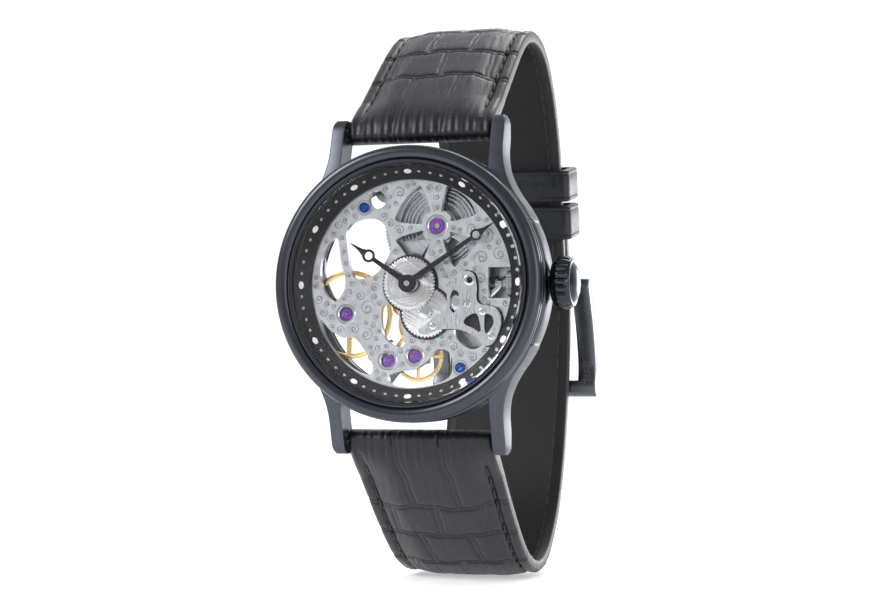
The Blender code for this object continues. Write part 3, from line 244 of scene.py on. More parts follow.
def rectangle(low, high, inner, outer):
    """A turned ring's profile: between two radii, from one height to another."""
    return [(inner, low), (outer, low), (outer, high), (inner, high)]


def on_circle(centre, radius, angle):
    return (centre[0] + radius * math.cos(angle), centre[1] + radius * math.sin(angle))


def view_from(origin, angle):
    """A function that places (along, side) points, seen from an origin along an angle."""
    cos, sin = math.cos(angle), math.sin(angle)
    return lambda along, side: (origin[0] + along * cos - side * sin,
                                origin[1] + along * sin + side * cos)


def cut_slot(made, centre, angle, reach, half_width, low, high):
    """Cuts a straight slot, from one distance to another along an angle, between two heights."""
    place = view_from(centre, angle)
    loop = [place(reach[0], -half_width), place(reach[1], -half_width),
            place(reach[1], half_width), place(reach[0], half_width)]
    return combine(made, add_mesh("slot", *extrude_loops([loop], low, high), made.data.materials[0]))


def signed_area(loop):
    return sum(loop[i - 1][0] * loop[i][1] - loop[i][0] * loop[i - 1][1] for i in range(len(loop))) / 2


def extrude_loops(loops, low, high):
    oriented = [loop if (signed_area(loop) > 0) == (index == 0) else list(reversed(loop))
                for index, loop in enumerate(loops)]
    flat = [point for loop in oriented for point in loop]
    count = len(flat)
    points = [(x, -low, z) for x, z in flat] + [(x, -high, z) for x, z in flat]
    faces = []
    for a, b, c in tessellate_polygon([[Vector((x, z, 0)) for x, z in loop] for loop in oriented]):
        faces.append((c, b, a))
        faces.append((a + count, b + count, c + count))
    start = 0
    for loop in oriented:
        for index in range(len(loop)):
            after = start + (index + 1) % len(loop)
            faces.append((start + index, after, after + count, start + index + count))
        start += len(loop)
    return points, faces


def plate(name, loops, level, material, edge=0.05):
    """A plate between two heights, with its edges bevelled."""
    made = add_mesh(name, *extrude_loops(loops, *level), material)
    return bevel(flattened(made), edge) if edge else made


def turned_data(profile, segments, place):
    points = []
    rings = []
    for radius, along in profile:
        if radius < 1e-6:
            rings.append([len(points)] * segments)
            points.append(place(0, 1, 0, along))
            continue
        rings.append(list(range(len(points), len(points) + segments)))
        for index in range(segments):
            angle = TURN * index / segments
            points.append(place(radius, math.cos(angle), math.sin(angle), along))
    faces = []
    for index, ring in enumerate(rings):
        following = rings[(index + 1) % len(rings)]
        for step in range(segments):
            after = (step + 1) % segments
            unique = list(dict.fromkeys((ring[step], ring[after], following[after], following[step])))
            if len(unique) >= 3:
                faces.append(tuple(unique))
    return points, faces


def turned(name, profile, material, centre=(0, 0), segments=64, sharp=35):
    x0, z0 = centre
    data = turned_data(profile, segments, lambda r, c, s, h: (x0 + r * c, -h, z0 + r * s))
    return add_mesh(name, *data, material, sharp)


def turned_on_x(name, profile, material, y0, z0, segments=48):
    data = turned_data(profile, segments, lambda r, c, s, x: (x, y0 + r * c, z0 + r * s))
    return add_mesh(name, *data, material)


def rod_profile(sections, edge=0.0):
    """A solid rod from (radius, low, high) sections, with small chamfers at its steps."""
    profile = [(0, sections[0][1])]
    for radius, low, high in sections:
        chamfer = min(edge, radius * 0.4, (high - low) * 0.3)
        profile += [(radius - chamfer, low), (radius, low + chamfer), (radius, high - chamfer),
                    (radius - chamfer, high)]
    profile.append((0, sections[-1][2]))
    return profile


def circle(centre, radius, segments=40):
    return [on_circle(centre, radius, TURN * i / segments) for i in range(segments)]


def spline(before, start, end, after, steps):
    """Points on a smooth curve from start towards end, without end itself."""
    return [0.5 * (2 * start + (end - before) * t
                   + (2 * before - 5 * start + 4 * end - after) * t * t
                   + (3 * start - before - 3 * end + after) * t ** 3)
            for t in (step / steps for step in range(steps))]


def smooth_loop(points, steps=5):
    """A closed smooth curve through points."""
    corners = [Vector(point) for point in points]
    count = len(corners)
    return [tuple(spot) for index in range(count)
            for spot in spline(*(corners[(index + k) % count] for k in (-1, 0, 1, 2)), steps)]


def smooth_path(points, steps):
    """An open smooth curve through points."""
    stops = [Vector(point) for point in (points[0], *points, points[-1])]
    curve = [spot for index in range(len(stops) - 3) for spot in spline(*stops[index:index + 4], steps)]
    return curve + [stops[-1]]


def direction(first, second):
    return math.atan2(second[1] - first[1], second[0] - first[0])


def distance(first, second):
    return math.hypot(second[0] - first[0], second[1] - first[1])


# ---------------------------------------------------------------- materials
class Finish:
    """A Principled material whose texture nodes work in millimetres of the piece's own space."""

    def __init__(self, name, color, roughness, metallic=0.0, **values):
        self.material = bpy.data.materials.new(name)
        self.material.use_nodes = True
        self.nodes = self.material.node_tree.nodes
        self.link = self.material.node_tree.links.new
        self.shader = self.nodes["Principled BSDF"]
        self.color = color
        self.roughness = roughness
        self.height = None
        values.update(Base_Color=(*color, 1), Roughness=roughness, Metallic=metallic)
        for socket, value in values.items():
            self.shader.inputs[socket.replace("_", " ")].default_value = value

    def node(self, kind, **values):
        """A node with these settings; an underscore stands for a space in a socket's name."""
        made = self.nodes.new(kind)
        for key, value in values.items():
            if key.replace("_", " ") in made.inputs:
                made.inputs[key.replace("_", " ")].default_value = value
            else:
                setattr(made, key, value)
        return made

    def place(self, stretch=(1, 1, 1)):
        """Object coordinates in millimetres, stretched along the axes."""
        coordinates = self.node("ShaderNodeTexCoord")
        mapping = self.node("ShaderNodeMapping", Scale=[1000 * s for s in stretch])
        self.link(coordinates.outputs["Object"], mapping.inputs["Vector"])
        return mapping.outputs["Vector"]

    def noise(self, per_mm, stretch=(1, 1, 1), detail=4.0, roughness=0.55):
        texture = self.node("ShaderNodeTexNoise", Scale=per_mm, Detail=detail, Roughness=roughness)
        self.link(self.place(stretch), texture.inputs["Vector"])
        return texture.outputs["Fac"]

    def rings(self, per_mm):
        """Noise that changes only with the distance from the piece's own Y axis."""
        split = self.node("ShaderNodeSeparateXYZ")
        self.link(self.place(), split.inputs[0])
        flat = self.node("ShaderNodeCombineXYZ")
        self.link(split.outputs["X"], flat.inputs["X"])
        self.link(split.outputs["Z"], flat.inputs["Y"])
        length = self.node("ShaderNodeVectorMath", operation="LENGTH")
        self.link(flat.outputs[0], length.inputs[0])
        texture = self.node("ShaderNodeTexNoise", noise_dimensions="1D", Scale=per_mm, Detail=3.0)
        self.link(length.outputs["Value"], texture.inputs["W"])
        return texture.outputs["Fac"]

    def remap(self, source, low, high, from_low=0.3, from_high=0.7):
        ramp = self.node("ShaderNodeMapRange", From_Min=from_low, From_Max=from_high, To_Min=low, To_Max=high)
        self.link(source, ramp.inputs["Value"])
        return ramp.outputs["Result"]

    def vary_roughness(self, source, spread):
        self.link(self.remap(source, self.roughness - spread, self.roughness + spread),
                  self.shader.inputs["Roughness"])

    def vary_color(self, source, darker, lighter):
        """The colour runs from a darker to a lighter multiple of itself with the source."""
        mix = self.node("ShaderNodeMix", data_type="RGBA")
        for socket, factor in (("A", darker), ("B", lighter)):
            mix.inputs[socket].default_value = (*[min(1, c * factor) for c in self.color], 1)
        self.link(self.remap(source, 0, 1), mix.inputs["Factor"])
        self.link(mix.outputs["Result"], self.shader.inputs["Base Color"])

    def bump(self, source, depth_mm):
        """Adds relief; later calls lie on top of earlier ones."""
        bump = self.node("ShaderNodeBump", Strength=1.0, Distance=depth_mm * MM)
        self.link(source, bump.inputs["Height"])
        if self.height is not None:
            self.link(self.height, bump.inputs["Normal"])
        self.height = bump.outputs["Normal"]
        self.link(self.height, self.shader.inputs["Normal"])


def worn(finish, source, spread, tones, depth, tone_source=None):
    """Lets one texture drive a finish's roughness, colour and relief."""
    finish.vary_roughness(source, spread)
    finish.vary_color(source if tone_source is None else tone_source, *tones)
    finish.bump(source, depth)
    return finish.material


def brushed(name, color, roughness, stretch, spread=0.07, depth=0.004):
    """Metal with fine lines along the axis whose stretch is smallest."""
    finish = Finish(name, color, roughness, 1.0)
    return worn(finish, finish.noise(14, stretch, detail=5), spread, (0.86, 1.1), depth)


def circular(name, color, roughness, spread=0.04, depth=0.0015):
    """Metal with fine rings round the piece's own axis."""
    finish = Finish(name, color, roughness, 1.0)
    return worn(finish, finish.rings(9), spread, (0.93, 1.05), depth)


def cast(name, color, roughness, metallic=1.0, grain=9.0, depth=0.004, spread=0.06, **values):
    """Metal or rubber with an even fine grain."""
    finish = Finish(name, color, roughness, metallic, **values)
    grains = finish.noise(grain)
    return worn(finish, grains, spread, (0.9, 1.1), depth, finish.noise(0.35, detail=2))


def crystal_material():
    """Clear sapphire that lets the lamps through to what it covers."""
    finish = Finish("sapphire", (0.985, 0.99, 1.0), 0.0, 0.0, Transmission_Weight=1.0, IOR=1.25)
    clear = finish.node("ShaderNodeBsdfTransparent", Color=(0.93, 0.94, 0.95, 1))
    path = finish.node("ShaderNodeLightPath")
    mix = finish.node("ShaderNodeMixShader")
    sources = (path.outputs["Is Shadow Ray"], finish.shader.outputs[0], clear.outputs[0])
    for source, socket in zip(sources, mix.inputs):
        finish.link(source, socket)
    finish.link(mix.outputs[0], finish.nodes["Material Output"].inputs["Surface"])
    return finish.material


def leather_material():
    """Black embossed calf: fine pores and wrinkles over the scales that the mesh carries."""
    finish = Finish("black_leather", (0.0050, 0.0060, 0.0085), 0.34, 0.0, Specular_IOR_Level=0.40,
                    Sheen_Weight=0.03, Sheen_Roughness=0.5, Sheen_Tint=(0.55, 0.62, 0.75, 1))
    wrinkles = finish.noise(1.0, (2.4, 0.5, 0.5), detail=6, roughness=0.6)
    pores = finish.node("ShaderNodeTexVoronoi", feature="DISTANCE_TO_EDGE", Scale=3.6)
    finish.link(finish.place((1, 1, 1.3)), pores.inputs["Vector"])
    worn(finish, wrinkles, 0.08, (0.75, 1.5), 0.04)
    finish.bump(finish.remap(pores.outputs["Distance"], 0, 1, 0.0, 0.12), 0.010)
    return finish.material


def engraved_steel(name, color, roughness):
    """Rhodium-plated plate: a fine frosted grain with soft tone changes."""
    finish = Finish(name, color, roughness, 1.0)
    grains = finish.noise(16, detail=3)
    return worn(finish, grains, 0.06, (0.82, 1.12), 0.006, finish.noise(0.8, detail=4))


PALE_FLOOR = cast("pale_floor", (0.90, 0.90, 0.91), 0.7, 0.0, grain=0.05, depth=0.0, spread=0.03,
                  Emission_Color=(1, 1, 1, 1), Emission_Strength=0.42)
CASE_BLACK = cast("case_black", (0.078, 0.084, 0.098), 0.38, grain=12, depth=0.003, spread=0.05)
BEZEL_BLACK = circular("bezel_black", (0.060, 0.064, 0.075), 0.30, spread=0.04, depth=0.001)
GLOSS_BLACK = cast("gloss_black", (0.04, 0.044, 0.052), 0.16, grain=10, depth=0.001, spread=0.03)
HAND_BLACK = cast("hand_black", (0.02, 0.021, 0.024), 0.25, grain=12, depth=0.002, spread=0.04,
                  metallic=0.6)
BACK_BLACK = circular("back_black", (0.10, 0.108, 0.125), 0.3)
PLATE_STEEL = engraved_steel("plate_steel", (0.60, 0.61, 0.63), 0.30)
BRIDGE_STEEL = brushed("bridge_steel", (0.58, 0.59, 0.61), 0.28, (1.0, 1.0, 0.04))
COVER_STEEL = brushed("cover_steel", (0.56, 0.57, 0.59), 0.30, (0.5, 0.5, 0.05))
WHEEL_STEEL = circular("wheel_steel", (0.60, 0.60, 0.60), 0.26)
DARK_STEEL = circular("dark_steel", (0.34, 0.345, 0.36), 0.3)
POLISHED = cast("polished", (0.66, 0.67, 0.69), 0.14, grain=10, depth=0.001, spread=0.03)
SPRING = cast("spring", (0.62, 0.64, 0.68), 0.28, grain=12, depth=0.001, spread=0.04)
GILT = circular("gilt", (0.80, 0.56, 0.24), 0.26)
BRIGHT_GILT = cast("bright_gilt", (0.86, 0.62, 0.30), 0.2, grain=12, depth=0.001, spread=0.04)
BLUED = cast("blued", (0.015, 0.055, 0.30), 0.18, grain=12, depth=0.001, spread=0.04)
# A darker steel for the raised scroll lines: painted shade that stands for the engraved cuts.
SCROLL_PAINTED_SHADE = cast("engraved", (0.26, 0.265, 0.28), 0.3, grain=12, depth=0.001, spread=0.05)
RUBY = cast("ruby", (0.13, 0.02, 0.27), 0.08, 0.0, grain=6, depth=0.001, spread=0.02,
            Coat_Weight=1.0, Coat_Roughness=0.02)
DIAL_BLACK = cast("dial_black", (0.003, 0.003, 0.004), 0.45, 0.0, grain=14, depth=0.001, spread=0.05,
                  Specular_IOR_Level=0.25)
DOT_GREY = cast("dot_grey", (0.36, 0.36, 0.36), 0.5, 0.0, grain=10, depth=0.004, spread=0.04)
DOT_WHITE = cast("dot_white", (0.80, 0.80, 0.78), 0.45, 0.0, grain=10, depth=0.004, spread=0.04)
# Near-black metal for painted shade: the flat discs under the motion work and round the keyless cover.
PAINTED_SHADE_BLACK = cast("painted_shade_black", (0.03, 0.03, 0.034), 0.4, 0.6, grain=12, depth=0.001, spread=0.05)
RUBBER = cast("rubber", (0.012, 0.012, 0.013), 0.6, 0.0, grain=8, depth=0.006, spread=0.05)
CRYSTAL = crystal_material()
LEATHER = leather_material()
LINING = cast("lining", (0.007, 0.007, 0.008), 0.55, 0.0, grain=5, depth=0.02, spread=0.05,
              Specular_IOR_Level=0.3)
EDGE_PAINT = cast("edge_paint", (0.022, 0.024, 0.029), 0.45, 0.0, grain=3, depth=0.01, spread=0.05)
THREAD = cast("thread", (0.006, 0.006, 0.007), 0.5, 0.0, grain=18, depth=0.01, spread=0.05)
BUCKLE_STEEL = brushed("buckle_steel", (0.105, 0.112, 0.125), 0.30, (1.0, 1.0, 0.06))


# ---------------------------------------------------------------- case
CENTRE = (0.0, 0.0)
CASE_RADIUS = 19.9
BORE_RADIUS = 18.6
LUG_TIP_Z = 24.5
LUG_INNER_X = 11.15
LUG_OUTER_X = 13.1
SPRING_BAR_Z = 22.5
SPRING_BAR_HEIGHT = 1.7
LUG_ROOT_Z = 9.0
LUG_BEND_Z = 12.3
LUG_ROWS = 34
LUG_CHAMFER = 0.32
STEM_HEIGHT = 4.3
DIAL_OPENING_RADIUS = 15.0


def arc(radius_centre, height_centre, size, start, end, steps):
    """Profile points on an arc, with its angles in degrees."""
    points = []
    for step in range(steps + 1):
        angle = math.radians(start + (end - start) * step / steps)
        points.append((radius_centre + size * math.cos(angle), height_centre + size * math.sin(angle)))
    return points


def lug_outer_x(z):
    if z < LUG_BEND_Z:
        return math.sqrt(CASE_RADIUS ** 2 - z ** 2)
    sweep = min(1.0, (z - LUG_BEND_Z) / 8.0)
    at_case = math.sqrt(CASE_RADIUS ** 2 - LUG_BEND_Z ** 2)
    return LUG_OUTER_X + (at_case - LUG_OUTER_X) * (1 - sweep) ** 2.2


def lug(side, end):
    """A lug with softened edges that sweeps out of the case ring."""
    points = []
    for row in range(LUG_ROWS):
        z = LUG_ROOT_Z + (LUG_TIP_Z - LUG_ROOT_Z) * row / (LUG_ROWS - 1)
        fall = (z - LUG_ROOT_Z) / (LUG_TIP_Z - LUG_ROOT_Z)
        front = 7.4 - 3.9 * fall ** 1.5
        back = 1.9 - 1.7 * max(0.0, min(1.0, (z - 16.0) / 5.0))
        outer = lug_outer_x(z)
        if z > 23.0:
            round_off = (z - 23.0) / (LUG_TIP_Z - 23.0)
            front -= 0.75 * round_off ** 2.5
            back += 0.8 * round_off ** 2.5
            outer -= 0.3 * round_off ** 3
        corner = [(outer - LUG_CHAMFER * (1 - math.cos(t)), front - LUG_CHAMFER * (1 - math.sin(t)))
                  for t in [math.pi / 2 * step / 3 for step in range(4)]]
        section = [(LUG_INNER_X, back), (outer - 0.1, back), (outer, back + 0.1), *corner,
                   (LUG_INNER_X + 0.1, front), (LUG_INNER_X, front - 0.1)]
        points += [(side * x, -height, end * z) for x, height in section]
    return add_mesh("lug", points, skin(LUG_ROWS, len(section)), CASE_BLACK)


def make_case():
    ring = turned("case_ring", [
        (BORE_RADIUS - 1, 1.9), (CASE_RADIUS - 0.6, 1.9), (CASE_RADIUS - 0.15, 2.1), (CASE_RADIUS, 2.45),
        (CASE_RADIUS, 6.2), (CASE_RADIUS - 0.12, 6.45), (CASE_RADIUS - 0.35, 6.6), (CASE_RADIUS - 0.42, 7.4),
        (CASE_RADIUS - 0.45, 8.2), (BORE_RADIUS - 1, 8.2)], CASE_BLACK, segments=144)
    for side in (-1, 1):
        for end in (-1, 1):
            combine(ring, lug(side, end), "UNION")
    combine(ring, turned("bore", rod_profile([(BORE_RADIUS, 1.0, 9.0)]), CASE_BLACK, segments=144))
    combine(ring, turned_on_x("bore", rod_profile([(1.15, 17.0, 21.0)]), CASE_BLACK, -STEM_HEIGHT, 0))
    for end in (-1, 1):
        combine(ring, turned_on_x("bar_hole", rod_profile([(0.85, -12.4, 12.4)]), CASE_BLACK,
                                  -SPRING_BAR_HEIGHT, end * SPRING_BAR_Z, 24))
    settle(ring, "case", "black_steel", "case_middle")

    profile = [(17.7, 8.3), (19.75, 8.3), (19.85, 8.4), (19.85, 8.72), (19.78, 8.8), (19.72, 8.82)]
    profile += arc(18.72, 9.3, 1.08, -18, 148, 16)
    profile += [(17.74, 9.96), (17.66, 10.1), (17.5, 10.12), (17.47, 10.04), (17.36, 10.02), (17.3, 10.1),
                (17.16, 10.1), (17.1, 10.02), (17.1, 9.85), (17.7, 9.85)]
    settle(turned("bezel_ring", profile, BEZEL_BLACK, segments=192, sharp=28), "case", "black_steel", "bezel")
    settle(turned("gasket_ring", rectangle(9.25, 9.75, 17.15, 17.6), RUBBER, segments=96), "case",
           "gasket_rubber", "crystal_gasket")


def dome(radius, low, high):
    """Profile points of a shallow dome from its middle to its edge."""
    return [(radius * step / 12, high - (high - low) * (step / 12) ** 2) for step in range(13)]


def make_crystals():
    inner = dome(16.6, 9.35, 10.3)
    outer = dome(16.4, 10.72, 11.75)
    shell = inner + [(16.98, 9.3), (16.98, 10.3)] + arc(16.55, 10.3, 0.43, 0, 75, 5) + list(reversed(outer))
    settle(turned("crystal_dome", shell, CRYSTAL, segments=160, sharp=40), "case", "sapphire_glass",
           "front_crystal")
    settle(turned("back_window", [(0, 0), (15.1, 0), (15.3, 0.2), (15.3, 1.4), (0, 1.4)], CRYSTAL,
                  segments=128), "case", "sapphire_glass", "back_crystal")


NOTCHES = 6
PITS = 72
PIT_CIRCLE = 17.15
PIT = [(0, -0.2), (0.17, -0.2), (0.17, 0.02), (0.08, 0.11), (0, 0.11)]


def make_case_back():
    """The screwed ring on the back, with its key notches and a row of small round pits."""
    ring = turned("case_back_ring", [
        (15.4, 0.06), (15.46, 0.0), (18.75, 0.0), (19.12, 0.12), (19.3, 0.4), (19.3, 1.75), (16.8, 1.75),
        (15.4, 1.45)], BACK_BLACK, segments=160)
    cutters = []
    for number in range(NOTCHES):
        place = view_from(CENTRE, TURN * (number + 0.5) / NOTCHES)
        loop = [place(18.4, -0.7), place(19.6, -0.7), place(19.6, 0.7), place(18.4, 0.7)]
        cutters.append(add_mesh("notch", *extrude_loops([loop], -0.5, 0.55), BACK_BLACK))
    for number in range(PITS):
        spot = on_circle(CENTRE, PIT_CIRCLE, TURN * number / PITS)
        cutters.append(turned("pit", PIT, BACK_BLACK, spot, 12))
    combine(ring, join("cutters", cutters))
    combine(ring, turned("groove", rectangle(-0.4, 0.07, 16.0, 16.14), BACK_BLACK, segments=160))
    settle(ring, "case", "black_steel", "case_back")


DIAL_SLOPE = (9.15 - 7.5) / (16.95 - DIAL_OPENING_RADIUS)
DOT_CIRCLE = 16.08
DOT_SEGMENTS = 20
DOT_RINGS = ((-0.02, 1.0), (0.035, 0.96), (0.06, 0.75))  # height above the cone, and share of the size


def dial_dot(angle, size, material):
    """A low oval dot on the dial's cone."""
    outward = Vector((math.cos(angle), -DIAL_SLOPE, math.sin(angle))).normalized()
    along = Vector((-math.sin(angle), 0, math.cos(angle)))
    lift = outward.cross(along)
    if lift.y > 0:
        lift = -lift
    height = 7.5 + DIAL_SLOPE * (DOT_CIRCLE - DIAL_OPENING_RADIUS)
    spot = Vector((DOT_CIRCLE * math.cos(angle), -height, DOT_CIRCLE * math.sin(angle)))
    points = []
    for level, shrink in DOT_RINGS:
        for x, z in circle(CENTRE, shrink, DOT_SEGMENTS):
            points.append(spot + along * size[0] * x + outward * size[1] * z + lift * level)
    return add_mesh("dot", points, skin(len(DOT_RINGS), DOT_SEGMENTS), material)


def make_dial():
    """The black cone under the crystal, with its hour and minute dots."""
    profile = [(DIAL_OPENING_RADIUS, 7.15), (18.4, 7.15), (18.4, 8.2), (17.5, 8.2), (17.4, 9.15),
               (16.95, 9.15), (DIAL_OPENING_RADIUS + 0.06, 7.5), (DIAL_OPENING_RADIUS, 7.44)]
    settle(turned("dial_ring", profile, DIAL_BLACK, segments=160), "case", "dial_black", "chapter_ring")
    hours = [minute for minute in range(60) if minute % 5 == 0]
    minutes = [minute for minute in range(60) if minute % 5]
    for name, places, material, size in (("hour_dots", hours, DOT_WHITE, (0.56, 0.40)),
                                         ("minute_dots", minutes, DOT_GREY, (0.24, 0.19))):
        dots = [dial_dot(TURN * minute / 60, size, material) for minute in places]
        settle(join(name, dots), "case", "dial_black")


# ---------------------------------------------------------------- movement: layout shared with the frame
RATCHET_LEVEL = (1.72, 2.12)
BRIDGE_LEVEL = (2.4, 3.2)
CENTRE_WHEEL_LEVEL = (3.6, 3.85)
THIRD_WHEEL_LEVEL = (4.35, 4.6)
FOURTH_WHEEL_LEVEL = (4.95, 5.15)
ESCAPE_LEVEL = (4.2, 4.4)
BALANCE_LEVEL = (4.75, 5.25)
BARREL_TOOTH_LEVEL = (5.3, 5.7)
PLATE_LEVEL = (6.0, 7.0)
MINUTE_WHEEL_LEVEL = (7.15, 7.35)
HOUR_WHEEL_LEVEL = (7.6, 7.8)
COVER_LEVEL = (7.65, 7.9)
HOUR_HAND_LEVEL = (8.3, 8.45)
MINUTE_HAND_LEVEL = (8.75, 8.9)

BARREL = (3.95, 8.23)
THIRD = (1.7, -5.597)
FOURTH = (0.6, -10.3)
ESCAPE = (-3.4, -10.9)
PALLET = (-5.45, -8.75)
BALANCE = (-9.7, -4.2)
MINUTE = (2.385, -4.107)
SETTING = (6.862, -2.797)
CROWN_WHEEL = (11.1, 0.0)
CLICK = (12.4, 5.15)
BARREL_BRIDGE_POSTS = ((16.0, 4.4), (-5.6, 14.6))
TRAIN_BRIDGE_POSTS = ((13.1, -9.7), (-6.2, -16.0))
COCK_POSTS = ((-16.0, 4.2),)
DIAL_SCREWS = ((-6.9, 11.1), (7.4, -12.0))
COVER_SCREW = (8.6, -3.0)
POST_BORE = 0.36
BARREL_TEETH = 96
CENTRE_LEAVES = 12
CENTRE_TEETH = 80
THIRD_LEAVES = 10
THIRD_TEETH = 75
FOURTH_LEAVES = 10
FOURTH_TEETH = 70
ESCAPE_LEAVES = 7
ESCAPE_TEETH = 15
CANNON_TEETH = 14
MINUTE_TEETH = 42
MINUTE_LEAVES = 12
HOUR_TEETH = 48
SETTING_TEETH = 13
CROWN_WHEEL_TEETH = 32
RATCHET_TEETH = 62
WINDING_TEETH = 16
TOOTH = ((-0.78, -0.36), (0.0, -0.24), (0.34, -0.12), (0.42, 0.0), (0.34, 0.12), (0.0, 0.24), (-0.78, 0.36))


def cog(name, centre, pitch_radius, teeth, phase, level, material, edge, holes=()):
    """A toothed plate."""
    return plate(name, [gear_outline(centre, pitch_radius, teeth, phase), *holes], level, material, edge)


def mesh_gears(first, second, first_teeth, second_teeth, first_phase=0):
    """Pitch radii of two wheels that mesh, and the second one's phase."""
    line = direction(first, second)
    gap = distance(first, second)
    radius = gap * first_teeth / (first_teeth + second_teeth)
    fraction = ((line - first_phase) / (TURN / first_teeth)) % 1
    return radius, gap - radius, line + math.pi - ((0.5 - fraction) % 1) * TURN / second_teeth


def axle(sections, centre, edge=0.03, segments=32):
    return turned("axle", rod_profile(sections, edge), POLISHED, centre, segments)


def on_axis(name, parts, centre, body, slot, node):
    """A piece joined from its parts, with its origin on its axis."""
    return settle(centred(join(name, parts), centre), body, slot, node)


def sweep_points(centre, radius, start, end, steps):
    return [on_circle(centre, radius, start + (end - start) * step / steps) for step in range(steps + 1)]


def gear_outline(centre, pitch_radius, teeth, phase):
    """Rounded clock teeth; phase is the angle of one tooth's tip."""
    module = 2 * pitch_radius / teeth
    pitch = TURN / teeth
    return [on_circle(centre, pitch_radius + rise * module, phase + pitch * (index + turn))
            for index in range(teeth) for rise, turn in TOOTH]


def sector_hole(centre, inner, outer, start, end, steps=12):
    return sweep_points(centre, outer, start, end, steps) + sweep_points(centre, inner, end, start, steps)


def crossings(centre, inner, outer, spokes, phase, spoke_width):
    """The openings between the spokes of a wheel."""
    holes = []
    for index in range(spokes):
        start = phase + TURN * index / spokes
        end = start + TURN / spokes
        out = spoke_width / 2 / outer
        into = spoke_width / 2 / inner
        holes.append(sweep_points(centre, outer, start + out, end - out, 12)
                     + sweep_points(centre, inner, end - into, start + into, 4))
    return holes


def centred(made, centre):
    """Moves the piece's origin to its axis, so that its turned finish lies round it."""
    offset = Vector((centre[0], 0, centre[1])) * MM
    made.data.transform(Matrix.Translation(-offset))
    made.location = offset
    return made


def coil(name, centre, start, turns, per_turn, radii, power, half, level, material):
    """A flat spiral spring between two radii, as one strip on edge."""
    path = []
    for index in range(per_turn * turns + 1):
        share = index / (per_turn * turns)
        path.append((start + TURN * turns * share, radii[0] + (radii[1] - radii[0]) * share ** power))
    outer, inner = [[on_circle(centre, radius + side * half, angle) for angle, radius in path]
                    for side in (1, -1)]
    return add_mesh(name, *extrude_loops([outer + inner[::-1]], *level), material)


# ---------------------------------------------------------------- engraving
def inside(point, loop):
    x, z = point
    hit = False
    for (x0, z0), (x1, z1) in zip(loop, loop[1:] + loop[:1]):
        if (z0 > z) != (z1 > z) and x < (x1 - x0) * (z - z0) / (z1 - z0) + x0:
            hit = not hit
    return hit


def clearance(point, loops):
    """Distance from a point to the nearest edge of any loop."""
    nearest = 1e9
    spot = np.array(point)
    for loop in loops:
        start = np.array(loop)
        step = np.roll(start, -1, axis=0) - start
        share = np.clip(((spot - start) * step).sum(1) / np.maximum((step ** 2).sum(1), 1e-12), 0, 1)
        nearest = min(nearest, np.sqrt((((start + step * share[:, None]) - spot) ** 2).sum(1).min()))
    return nearest


def ribbon(points, faces, path, level, facing, width, height):
    """Adds a raised line with tapered ends along (x, z) points to a growing mesh."""
    start = len(points)
    count = len(path)
    for index, spot in enumerate(path):
        along = (Vector(path[min(index + 1, count - 1)]) - Vector(path[max(index - 1, 0)])).normalized()
        taper = math.sin(math.pi * (index + 0.35) / (count + 0.7)) ** 0.5
        side = Vector((-along.y, along.x)) * width * taper / 2
        for share, lift in ((-1, -0.02), (-0.5, height * taper), (0.5, height * taper), (1, -0.02)):
            points.append((spot[0] + side.x * share, -(level + facing * lift), spot[1] + side.y * share))
    faces += skin(count, 4, start)


def scroll_path(x, z, size, turn, hand, turns=1.6):
    """A volute that unrolls from its eye, with a short tail."""
    steps = int(12 * turns)
    shares = [step / steps for step in range(steps + 1)]
    return [on_circle((x, z), size * (0.12 + 0.88 * share ** 1.3), turn + hand * TURN * turns * share)
            for share in shares]


def engrave(name, outline, holes, level, facing, spacing, sizes=(0.22, 0.85), keep_clear=()):
    """Fills a plate's face with scrolls, as large as the metal around each one allows, in a darker steel that
    paints the shade of engraved cuts.
    """
    loops = [outline] + holes
    x_range, z_range = [(min(values), max(values)) for values in zip(*outline)]
    taken = list(keep_clear)
    points = []
    faces = []
    wanted = int((x_range[1] - x_range[0]) * (z_range[1] - z_range[0]) / spacing ** 2)
    for _ in range(wanted):
        spot = (random.uniform(*x_range), random.uniform(*z_range))
        if not inside(spot, outline) or any(inside(spot, hole) for hole in holes):
            continue
        room = min([clearance(spot, loops) - 0.16]
                   + [distance(spot, other[:2]) - other[2] - 0.1 for other in taken])
        if room < sizes[0]:
            continue
        size = min(room, sizes[1])
        taken.append((*spot, size))
        turn = random.uniform(0, TURN)
        hand = random.choice((-1, 1))
        ribbon(points, faces, scroll_path(*spot, size, turn, hand), level, facing, 0.17, 0.06)
        if size > 0.4:
            small = scroll_path(*spot, size * 0.55, turn + 2.4, -hand, 0.8)
            ribbon(points, faces, small, level, facing, 0.13, 0.05)
    # The scroll lines take the darker steel of painted shade.
    settle(add_mesh(name, points, faces, SCROLL_PAINTED_SHADE), "case", "satin_steel")


